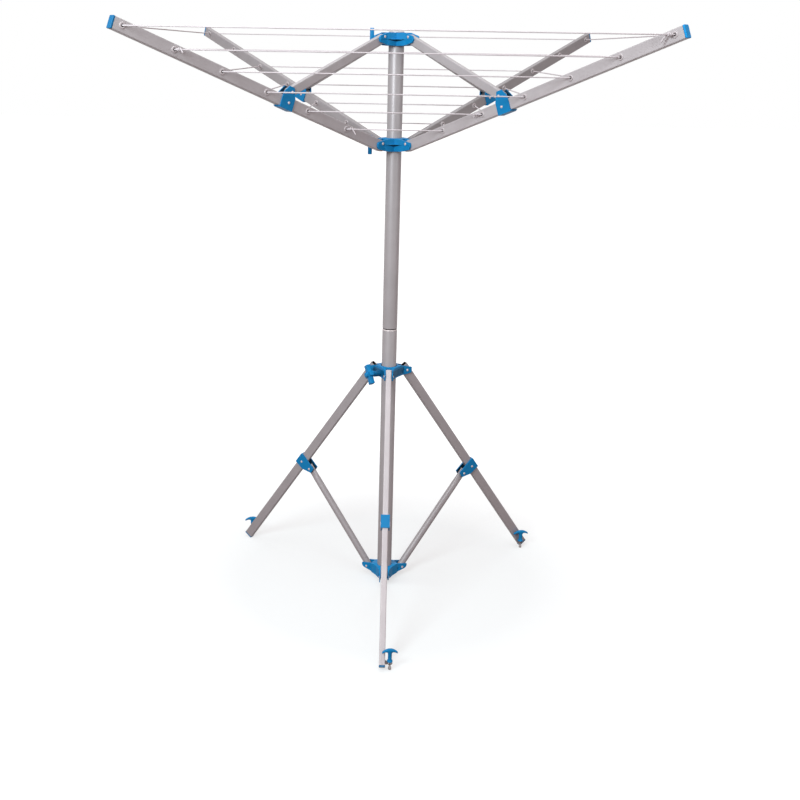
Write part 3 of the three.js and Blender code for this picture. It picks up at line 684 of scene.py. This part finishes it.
def knot_points(start, along, tail):
    """Two turns round the line from `start`, then a tail that droops."""
    side = along.cross(Vector((0, 0, 1))).normalized()
    rise = side.cross(along)
    points = [start]
    for count in range(knot_point_count):
        turn = math.tau * count / knot_points_per_turn
        wind = knot_wind * min(1, 0.45 + count / 8)
        off = (side * math.sin(turn) + rise * math.cos(turn)) * wind
        points.append(start + along * (0.0008 + knot_pitch * count) + off)
    last = points[-1]
    reach = along * (0.55 * tail) + side * (0.25 * tail)
    for share in (0.3, 0.65, 1):
        droop = tail_sag + 0.75 * tail * share * (0.5 + share / 2)
        points.append(last + reach * share - Vector((0, 0, droop)))
    return points


# %% [markdown]
# A half starts at the face of its arm, turns into the straight run within three millimetres and ends in the
# middle of the side, where it meets the half of the next arm. How much of its width it keeps in the fold is
# worked out, because a long half has to flatten more than a short one.

# %% Make the half rings
# Where each ring is knotted, as (arm, side of the arm, length of the tail).
knots = [(2, 1, 0.016), (3, -1, 0.009), (0, 1, 0.009), (1, -1, 0.009), (2, 1, 0.008), (3, -1, 0.022)]
knot_start = 0.004
# In the fold an eyelet lies `fold_gap` from the mast's axis, and `fold_spread` more for each metre of reach.
fold_gap, fold_spread = 0.058, 0.098
# Its half's end comes `line_lean` of the length nearer to the mast. The share acts on `line_cross` of it.
line_lean, line_cross = 0.065, 0.952
least_kept, most_kept = 0.12, 0.6


def ring_bend(index, reach, side):
    """Where the line leaves the eyelet, on the face of the arm that `side` picks."""
    return arm_place(index) @ Vector((reach, side * line_bend, eyelet_rise))


def kept_share(reach, half):
    """The share of its width that a half keeps in the fold, to end about half way to the next arm."""
    folded = fold_gap + reach * fold_spread
    share = (folded - line_bend - line_lean * half) / (line_cross * half)
    return max(least_kept, min(most_kept, share))


def half_ring(index, ring, side):
    reach = eyelets[ring]
    start = ring_bend(index, reach, side)
    end = ring_bend((index + side) % 4, reach, -side)
    middle = (start + end) / 2
    along = (middle - start).normalized()
    inward = arm_place(index).to_3x3() @ Vector((0, -side, 0))
    bend = [start + inward * 0.0016, start + inward * 0.0005 + along * 0.0002, start + along * 0.0009]
    name = f"ring_{ring + 1}_arm_{index + 1}_{'left' if side > 0 else 'right'}"
    piece = cord_piece(name, [*bend, middle])
    knot_arm, knot_side, tail = knots[ring]
    if (knot_arm, knot_side) == (index, side):
        knot = cord_piece("knot", knot_points(start + along * knot_start, along, tail), knot_radius, 2)
        piece = joined(name, [piece, knot])
    keep = kept_share(reach, (middle - start).length)
    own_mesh(dress(piece, cord_white, arm_bodies[index]))
    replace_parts(piece, f"line_{ring + 1}")
    return keep


kept = [half_ring(index, ring, side) for ring in range(6) for index in range(4) for side in (1, -1)]
print("half rings:", len(kept), "folded share:", round(min(kept), 2), round(max(kept), 2))

# %% [markdown]
# Inside an eyelet the line runs straight through the arm. These short runs are pieces of their own.

# %% Make the short runs of line inside the eyelets
run_half = 0.0084

for n in range(4):
    runs = []
    for reach in eyelets:
        ends = [arm_place(n) @ Vector((reach, side * run_half, eyelet_rise)) for side in (-1, 1)]
        runs.append(cord_piece("run", ends))
    dress(joined(f"line_runs_{n + 1}", runs), cord_white, arm_bodies[n])
print("runs on each arm:", len(eyelets))

# %% [markdown]
# ## The mast
# Two drawn round tubes with a thin dark ring between them. A tube is a circle extruded up the outside and
# down the inside, so that it has a real wall and a small chamfer at each end. The lower tube has the
# larger round at its top, which catches the light, so its finish is bright there.

# %% Turn the two mast tubes
mast_wall, mast_chamfer = 0.002, 0.0007
# The first factor darkens the mast's colour: painted shade for how the light falls on it.
mast_painted_light, mast_metallic, round_tube_edge = 0.86, 0.22, 0.0008
rim_near, rim_far = 0.015, 0.021
upright = Matrix.Rotation(math.radians(-90), 4, "Y")


def mast_tube(node, body, top_edge):
    low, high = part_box(node)
    rim = (high.z - 1.7 * top_edge, high.z + 0.001, rim_near, rim_far) if body == "base" else None
    look = (upright, mast_painted_light, round_tube_edge, mast_metallic)
    mast_metal = tube_finish(f"{node} tube", *look, rim=rim)
    inner = mast_radius - mast_wall
    outline = [
        (inner, low.z), (mast_radius - mast_chamfer, low.z), (mast_radius, low.z + mast_chamfer),
        (mast_radius, high.z - 1.6 * top_edge), (mast_radius - 0.3 * top_edge, high.z - 0.7 * top_edge),
        (mast_radius - top_edge, high.z), (inner, high.z), (inner, low.z),
    ]
    tube = round_piece(f"{node}_tube", outline, 72, closed=True)
    dress(smooth(tube, 30), mast_metal, body)
    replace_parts(tube, node)
    return high.z - low.z


mast_tubes = (("lower_mast", "base", 0.0016), ("upper_mast", "head", 0.0007))
print("mast tubes:", [round(mast_tube(*tube), 3) for tube in mast_tubes])

# %% [markdown]
# ## The stays
# Each stay is a round tube whose upper end is pressed nearly flat, to fit between the cheeks of the leg
# bracket. The same outline is extruded, with its circle squeezed to an oval over the pressed part. One is
# made upright at the origin and copied to its three places.

# %% Turn the stays
# The stays' colour is darkened by a factor: painted shade for how the light falls on them.
stay_wall, stay_painted_light = 0.0015, 0.87
stay_top = leg_place(0) @ Vector(stay_pin)
stay_foot = Vector((0, -leg_pin_reach, base_pin_height))
stay_run = (stay_top - stay_foot).length
stay_lean = math.acos((stay_top - stay_foot).z / stay_run)
stay_shape = [
    (0.0095, 0.0095, -0.0095), (0.0095, 0.0095, stay_run - 0.036), (0.0096, 0.009, stay_run - 0.032),
    (0.0103, 0.0072, stay_run - 0.025), (0.0108, 0.0061, stay_run - 0.02),
    (0.0108, 0.006, stay_run + 0.0088), (0.0103, 0.0055, stay_run + 0.0095),
]
stay_inner = [(x - stay_wall, y - stay_wall, z) for x, y, z in reversed(stay_shape[:-1])]
first_stay = turned("stay", [*stay_shape, *stay_inner, stay_shape[0]], 32, closed=True)
smooth(first_stay, 40)
for n in range(3):
    foot = spoke(leg_angles[n]) @ moved(leg_pin_reach, 0, base_pin_height)
    place = foot @ Matrix.Rotation(stay_lean, 4, "Y")
    stay = copy_of(first_stay, f"stay_tube_{n + 1}", place)
    stay_metal = tube_finish(f"stay {n + 1} tube", place @ upright, stay_painted_light, round_tube_edge)
    dress(stay, stay_metal, stay_bodies[n])
    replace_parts(stay, f"stay_{n + 1}")
discard(first_stay)
print("stay length:", round(stay_run, 4))

# %% [markdown]
# ## Rivets
# Every pivot and bracket is held by an aluminium rivet with a low domed head. A sphere cut in half would
# be too high, so a rivet is turned from a short outline. One is made for each width it has to hold, and
# then copied to its places. A grip, as it is called here, is half of that width.

# %% Turn the rivets
across = Matrix.Rotation(math.radians(-90), 4, "X")
rivet_head, rivet_seat = 0.0034, 0.0004
hub_shank, bracket_shank = 0.0028, 0.0018
slider_grip, top_grip, collar_grip, base_grip = 0.0134, 0.013, 0.0123, 0.0133
arm_grip, leg_grip = 0.011, 0.0116
arm_rivets = [(0.33125, 0, arm_centre), (0.32994, 0, 0.0208)]
leg_rivets = [(0.3955, 0, 0), stay_pin]


def rivet(half, shank):
    dome = [(rivet_head, 0), (0.0033, 0.0006), (0.0029, 0.0011), (0.002, 0.0014), (0.0009, 0.0016)]
    seat = half - rivet_seat
    lower = [(radius, -half - rise) for radius, rise in reversed(dome)]
    grip = [(rivet_head, -seat), (shank, -seat), (shank, seat), (rivet_head, seat)]
    upper = [(radius, half + rise) for radius, rise in dome]
    return smooth(round_piece("rivet", [*lower, *grip, *upper], 20), 50)


def riveted(name, half, shank, places, body):
    first = rivet(half, shank)
    copies = [copy_of(first, "rivet", place @ across) for place in places]
    discard(first)
    return dress(joined(name, copies), rivet_metal, body)


for n in range(4):
    pin = spoke(arm_angles[n]) @ moved(head_pin_reach, 0, slider_pin_height)
    rivets = riveted(f"slider_rivet_{n + 1}", slider_grip, hub_shank, [pin], "slider")
    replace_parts(rivets, f"arm_pin_{n + 1}")
    places = [arm_place(n) @ moved(*spot) for spot in arm_rivets]
    riveted(f"arm_rivets_{n + 1}", arm_grip, bracket_shank, places, arm_bodies[n])
places = [spoke(angle) @ moved(head_pin_reach, 0, top_pin_height) for angle in arm_angles]
riveted("top_hub_rivets", top_grip, hub_shank, places, "head")
for n in range(3):
    pin = spoke(leg_angles[n]) @ moved(leg_pin_reach, 0, collar_pin_height)
    rivets = riveted(f"collar_rivet_{n + 1}", collar_grip, hub_shank, [pin], "collar")
    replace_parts(rivets, f"leg_pin_{n + 1}")
    places = [leg_place(n) @ moved(*spot) for spot in leg_rivets]
    riveted(f"leg_rivets_{n + 1}", leg_grip, bracket_shank, places, leg_bodies[n])
places = [spoke(angle) @ moved(leg_pin_reach, 0, base_pin_height) for angle in leg_angles]
riveted("bottom_hub_rivets", base_grip, hub_shank, places, "base")

# %% [markdown]
# ## Eyelets
# A rolled metal ring lines each hole of an arm, on both faces. Its section is a small rounded hump,
# extruded round as a closed outline: up the bore, over the crown and down the rim. A torus would be
# quicker, but its inner side would close the hole too much.

# %% Turn the eyelet rings
crown = [
    (0.0032, 0.0068), (0.0032, 0.0087), (0.0035, 0.0091), (0.0042, 0.0094), (0.0055, 0.0095),
    (0.0067, 0.0093), (0.0075, 0.0087), (0.0076, 0.0078), (0.0032, 0.0068),
]
other_face = Matrix.Rotation(math.radians(180), 4, "X")


def eyelet_places(index):
    return [arm_place(index) @ moved(reach, 0, eyelet_rise) for reach in eyelets]


first_ring = smooth(round_piece("ring", crown, 20, closed=True), 50)
for n in range(4):
    rings = []
    for hole in eyelet_places(n):
        rings.append(copy_of(first_ring, "ring", hole @ across))
        rings.append(copy_of(first_ring, "ring", hole @ other_face @ across))
    dress(joined(f"eyelet_rings_{n + 1}", rings), eyelet_metal, arm_bodies[n])
discard(first_ring)
print("rings on each arm:", 2 * len(eyelets))

# %% [markdown]
# Inside the ring the hole lies in shade. The arm's own finish reaches into the hole, so the shade is
# painted: a thin dark sleeve lines it from face to face.

# %% Turn the painted-shade sleeves inside the eyelets
# The sleeves are painted shade: dark pieces that line the holes.
shade_sleeve_shape = [(0.0031, -0.0086), (0.0034, -0.0084), (0.0034, 0.0084), (0.0031, 0.0086), (0.0031, -0.0086)]
first_shade_sleeve = smooth(round_piece("sleeve", shade_sleeve_shape, 20, closed=True), 50)
for n in range(4):
    sleeves = [copy_of(first_shade_sleeve, "sleeve", hole @ across) for hole in eyelet_places(n)]
    dress(joined(f"eyelet_shade_sleeves_{n + 1}", sleeves), dark_plastic_and_shade, arm_bodies[n])
discard(first_shade_sleeve)
print("sleeves on each arm:", len(eyelets))

# %% [markdown]
# ## Helpers that grow a block
# A moulded part with no round section starts as a block. One of its faces is extruded several times and
# drawn in or let out a little each time, which is how such a shape is roughed out by hand. A Bevel
# modifier then rounds every edge.

# %% Helpers that grow and round a block
def block(name, size, place=(0, 0, 0)):
    bpy.ops.object.select_all(action="DESELECT")
    bpy.ops.mesh.primitive_cube_add(size=1, location=place)
    piece = bpy.context.object
    piece.name = name
    piece.scale = size
    bpy.ops.object.transform_apply(location=True, rotation=False, scale=True)
    return piece


def grow(piece, way, steps):
    """Extrudes the furthest face that looks `way`. A step is (how far, how its size changes)."""
    way = Vector(way)
    faces = [f for f in piece.data.polygons if f.normal.dot(way) > 0.8]
    furthest = max(faces, key=lambda f: f.center.dot(way))
    middle = furthest.center.copy()
    for kind in (piece.data.vertices, piece.data.edges, piece.data.polygons):
        kind.foreach_set("select", [False] * len(kind))
    furthest.select = True
    alone(piece)
    bpy.context.tool_settings.mesh_select_mode = (False, False, True)
    bpy.ops.object.mode_set(mode="EDIT")
    for move, scale in steps:
        bpy.ops.mesh.extrude_region_move(TRANSFORM_OT_translate={"value": move})
        middle += Vector(move)
        bpy.ops.transform.resize(value=scale, center_override=middle)
    bpy.ops.object.mode_set(mode="OBJECT")
    return piece


def rounded(piece, width, segments=3):
    alone(piece)
    soft = piece.modifiers.new("edges", "BEVEL")
    soft.width = width
    soft.segments = segments
    soft.limit_method = "ANGLE"
    soft.angle_limit = math.radians(20)
    bpy.ops.object.modifier_apply(modifier="edges")
    return smooth(piece)


# %% [markdown]
# ## The clamp knobs
# A short T-bar on a stubby neck, with the screw moulded in. The bar is a block whose two ends are drawn
# out. The neck and the screw are turned and joined on. The collar's bar is thicker, spreads at its ends,
# and has a lobe on each side and a round cap on its front.

# %% Make the knobs
bar_core, bar_half, bar_round = 0.014, 0.027, 0.0016
neck_end, screw_radius = 0.0466, 0.0029
head_knob_reach, collar_knob_reach = 0.0578, 0.054
top_knob_height, slider_knob_height, collar_knob_height = 1.504, 1.235, 0.613
top_screw_end, slider_screw_end, collar_screw_end = 0.0206, 0.0208, 0.0222
cap_length = 0.018
collar_knob_side, collar_knob_lean = 30, -33
# Each bar is (thickness, width, how its width changes over each half of an end).
head_bar, collar_bar = (0.0107, 0.0155, (0.92, 0.95)), (0.0125, 0.0165, (0.84, 1.3))
slider_bar_top = 0.022
outwards = Matrix.Rotation(math.radians(90), 4, "Y")


def knob_bar(reach, thick, width, swell, upward=bar_half):
    """The bar before its edges are rounded, with its face at `reach` from the mast's axis."""
    bar = block("knob", (thick, width, bar_core), (-reach - thick / 2, 0, 0))
    for way, length in ((1, upward), (-1, bar_half)):
        part = (length - bar_core / 2) / 2
        grow(bar, (0, 0, way), [((0, 0, way * part), (1, change, 1)) for change in swell])
    return bar


def with_lobes(bar):
    for way in (1, -1):
        grow(bar, (0, way, 0), [((0, way * 0.0045, 0), (1, 1, 0.85)), ((0, way * 0.004, 0), (1, 1, 1.1))])
    return bar


def knob_round(name, outline, sides, angle=35):
    """A round part of a knob, from (radius, distance from the mast's axis) points."""
    part = round_piece(name, [(radius, -reach) for radius, reach in outline], sides)
    part.data.transform(outwards)
    return smooth(part, angle)


def knob_cap(front):
    back = collar_knob_reach + 0.006
    outline = [(0.0068, back), (0.0068, front), (0.0062, front + 0.0012), (0.0045, front + 0.002)]
    return knob_round("cap", outline, 24, 40)


def clamp_knob(node, body, place, reach, screw_end, bar, caps=()):
    neck = [(0.0078, reach + 0.001), (0.0074, reach - 0.001), (0.0066, neck_end)]
    screw = [(screw_radius, reach + 0.001), (screw_radius, screw_end)]
    pieces = [rounded(bar, bar_round), knob_round("neck", neck, 24), knob_round("screw", screw, 16), *caps]
    whole = settle(joined(f"{node}_grip", pieces), place)
    dress(whole, blue, body)
    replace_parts(whole, node)


bar = knob_bar(head_knob_reach, *head_bar)
place = moved(0, 0, top_knob_height)
clamp_knob("top_hub_knob", "top_knob", place, head_knob_reach, top_screw_end, bar)
bar = knob_bar(head_knob_reach, *head_bar, upward=slider_bar_top)
place = moved(0, 0, slider_knob_height)
clamp_knob("sliding_hub_knob", "slider_knob", place, head_knob_reach, slider_screw_end, bar)
bar = with_lobes(knob_bar(collar_knob_reach, *collar_bar))
cap = knob_cap(collar_knob_reach + cap_length)
collar_turn = spoke(math.radians(collar_knob_side)) @ Matrix.Rotation(math.radians(collar_knob_lean), 4, "X")
place = moved(0, 0, collar_knob_height) @ collar_turn
clamp_knob("collar_knob", "collar_clamp", place, collar_knob_reach, collar_screw_end, bar, [cap])
print("knob bars:", round(2 * bar_half, 3), "long")

# %% [markdown]
# ## The hub webs
# Between the forks of each head hub a thin web closes the crease. It catches the light on top and throws
# a deep shade under it, which is in the hub's own finish. A web is a small block whose back edge is drawn
# in, so that it fills the crease. The fourth side of each hub carries the knob and has none.

# %% Make the hub webs
web_size, web_reach = (0.0085, 0.032, 0.0016), 0.0328


def hub_webs(name, height, body):
    webs = []
    for angle in web_angles:
        web = block("web", web_size, (web_reach, 0, height))
        grow(web, (-1, 0, 0), [((-0.003, 0, 0), (1, 0.25, 1))])
        rounded(web, 0.0005, 2)
        webs.append(settle(web, spoke(angle)))
    dress(joined(name, webs), blue, body)


hub_webs("top_hub_webs", top_web_height, "head")
hub_webs("sliding_hub_webs", slider_web_height, "slider")
print("webs on each hub:", len(web_angles))

# %% [markdown]
# ## The pegs
# Each foot is pinned to the ground by a steel spike under a T handle. The handle's wings droop a little,
# so each is drawn out in three steps, and a Subdivision Surface melts the block into one soft moulding. A
# round flange sits on its stem. Below it the leg carries a small bent steel clip with a ring that holds
# the spike.

# %% Helpers for the handles, spikes and clips
peg_offset = 0.0188
grip_size, grip_height = (0.013, 0.0088, 0.0112), 0.0525
clip_height, clip_near, clip_far, clip_round = 0.018, 0.474, 0.483, 0.0004
flap_size, flap_reach, flap_height = (0.006, 0.0016, 0.005), 0.732, -0.0045


def peg_handle():
    grip = block("grip", grip_size, (0, 0, grip_height))
    stem = [((0, 0, -0.004), (1, 1, 1)), ((0, 0, -0.01), (0.92, 0.95, 1)), ((0, 0, -0.009), (1.1, 1.1, 1))]
    grow(grip, (0, 0, -1), stem)
    for way in (1, -1):
        inner = ((way * 0.0064, 0, -0.0012), (1, 0.95, 0.68))
        outer = ((way * 0.0058, 0, -0.0026), (1, 0.92, 0.82))
        end = ((way * 0.0045, 0, -0.0029), (1, 0.9, 0.9))
        grow(grip, (way, 0, 0), [inner, outer, end])
    alone(grip)
    soft = grip.modifiers.new("rounding", "SUBSURF")
    soft.levels = soft.render_levels = 2
    bpy.ops.object.modifier_apply(modifier="rounding")
    outline = [
        (0.0078, 0.0228), (0.0082, 0.0246), (0.0079, 0.0258), (0.0058, 0.0268), (0.005, 0.029),
        (0.0044, 0.0325),
    ]
    flange = smooth(round_piece("flange", outline, 24), 40)
    return joined("handle", [smooth(grip, 60), flange])


def spike():
    outline = [
        (0.0016, 0.001), (0.0032, 0.0013), (0.0039, 0.0026), (0.0037, 0.0082), (0.0026, 0.0096),
        (0.0024, 0.0115), (0.0024, 0.046),
    ]
    return smooth(round_piece("spike", outline, 20), 40)


def clip_part(name, size, spot, place):
    return settle(rounded(block(name, size, spot), clip_round, 2), place)


def peg_clip(index, reach, side):
    """A ring round the spike, a strip that bridges to the leg, and a flap on the leg's side."""
    outline = [(0.0066, 0.0174), (0.0066, 0.019), (0.0046, 0.019), (0.0046, 0.0174), (0.0066, 0.0174)]
    on_ground, on_leg = spoke(leg_angles[index]), leg_place(index)
    ring = round_piece("clip ring", outline, 24, closed=True)
    settle(ring, on_ground @ moved(reach, side * peg_offset, 0))
    near, far = min(clip_near, reach - 0.005), max(clip_far, reach + 0.005)
    spot = ((near + far) / 2, side * 0.0103, clip_height)
    bridge = clip_part("bridge", (far - near, 0.0052, 0.002), spot, on_ground)
    flap = clip_part("flap", flap_size, (flap_reach, side * 0.0085, flap_height), on_leg)
    clip = joined(f"peg_clip_{index + 1}", [smooth(ring), bridge, flap])
    dress(clip, clip_steel, leg_bodies[index])
    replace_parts(clip, f"peg_plate_{index + 1}")


# %% [markdown]
# The three pegs stand at slightly different places along their legs, on either side of them, and their
# handles are turned as somebody left them. So a peg is given as (reach, side of the leg, turn, width).

# %% Make the pegs
pegs = [(0.484, 1, 96, 0.85), (0.466, -1, -16, 1), (0.486, -1, 36, 1)]
peg_bodies = ["peg_a", "peg_b", "peg_c"]

first_handle, first_spike = peg_handle(), spike()
for n, (reach, side, turn, width) in enumerate(pegs):
    peg_clip(n, reach, side)
    place = spoke(leg_angles[n]) @ moved(reach, side * peg_offset, 0)
    handle_place = place @ spoke(math.radians(turn)) @ Matrix.Diagonal((width, 1, 1, 1))
    handle = copy_of(first_handle, f"peg_grip_{n + 1}", handle_place)
    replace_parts(dress(handle, blue, peg_bodies[n]), f"peg_handle_{n + 1}")
    pin = copy_of(first_spike, f"peg_pin_{n + 1}", place)
    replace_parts(dress(pin, spike_steel, peg_bodies[n]), f"peg_spike_{n + 1}")
discard(first_handle)
discard(first_spike)
print("pegs:", len(pegs))

# %% [markdown]
# ## The floor
# A plain white studio needs a floor that keeps the shadow and has no edge. The plane is large, and it
# glows for the rays that show a surface: camera, glossy and transmission rays. The glow is full far out
# and weaker near the mast, where the shadow lies. The camera sees a light floor, and everything else gets
# a darker one, so that the floor doesn't throw too much light up.

# %% Lay the floor
glow_near, glow_far = 0.63, 1.0
glow_start, glow_end = 0.4, 1.2
floor_seen, floor_unseen = (0.33, 0.385, 0.39), (0.15, 0.1, 0.095)


def showing_rays(tree):
    """The camera ray by itself, and a mask of all the rays that show a surface."""
    rays = tree.nodes.new("ShaderNodeLightPath").outputs
    showing = any_of(tree, rays["Is Camera Ray"], rays["Is Glossy Ray"], rays["Is Transmission Ray"])
    return rays["Is Camera Ray"], showing


bpy.ops.mesh.primitive_plane_add(size=40, location=(0, 0, 0))
floor = bpy.context.object
floor.name = "floor"
floor_material, floor_tree, floor_shader = new_material("studio floor")
floor_shader.inputs["Roughness"].default_value = 0.95
floor_shader.inputs["Specular IOR Level"].default_value = 0.1
floor_shader.inputs["Emission Color"].default_value = (1, 1, 1, 1)
floor_spot = floor_tree.nodes.new("ShaderNodeTexCoord").outputs["Object"]
glow = spread(floor_tree, length_of(floor_tree, floor_spot), glow_near, glow_far, glow_start, glow_end)
camera_ray, showing_ray = showing_rays(floor_tree)
glow_shown = step(floor_tree, "MULTIPLY", glow, showing_ray)
floor_tone = ramp(floor_tree, camera_ray, floor_unseen, floor_seen)
floor_tree.links.new(floor_tone, floor_shader.inputs["Base Color"])
floor_tree.links.new(glow_shown, floor_shader.inputs["Emission Strength"])
floor.data.materials.append(floor_material)
print("floor nodes:", len(floor_tree.nodes))

# %% [markdown]
# ## Lamps and world
# The key lamp stands at the front left. A broad one above it fills the top faces, and a weak one at the
# front right keeps the dark sides readable. Large round area lamps give soft shadows, as a studio's do.
# The world is white where it shows and has a warm, even tone for everything that it lights.

# %% Set the lamps and the world
world_seen, world_unseen = (1, 1, 1), (0.43, 0.29, 0.285)


def lamp(name, place, target, size, power, colour=(1, 1, 1)):
    data = bpy.data.lights.new(name, "AREA")
    data.shape = "DISK"
    data.size = size
    data.energy = power
    data.color = colour
    light = bpy.data.objects.new(name, data)
    bpy.context.scene.collection.objects.link(light)
    light.location = place
    light.rotation_euler = (Vector(target) - Vector(place)).to_track_quat("-Z", "Y").to_euler()


lamp("key", (-1.4, -2.5, 2.4), (0, 0, 1.2), size=1.3, power=76, colour=(0.93, 0.97, 1))
lamp("top", (0, -0.3, 3.6), (0, 0, 0), size=2.2, power=34, colour=(0.93, 0.98, 1))
lamp("fill", (2.4, -2.0, 1.9), (0, 0, 1.2), size=1.8, power=12)
world = bpy.data.worlds.new("studio")
bpy.context.scene.world = world
world.use_nodes = True
world_tree = world.node_tree
_, showing_ray = showing_rays(world_tree)
world_tone = ramp(world_tree, showing_ray, world_unseen, world_seen)
world_tree.links.new(world_tone, world_tree.nodes["Background"].inputs["Color"])
bpy.context.scene.view_settings.view_transform = "Standard"
print("lamps:", len(bpy.data.lights))
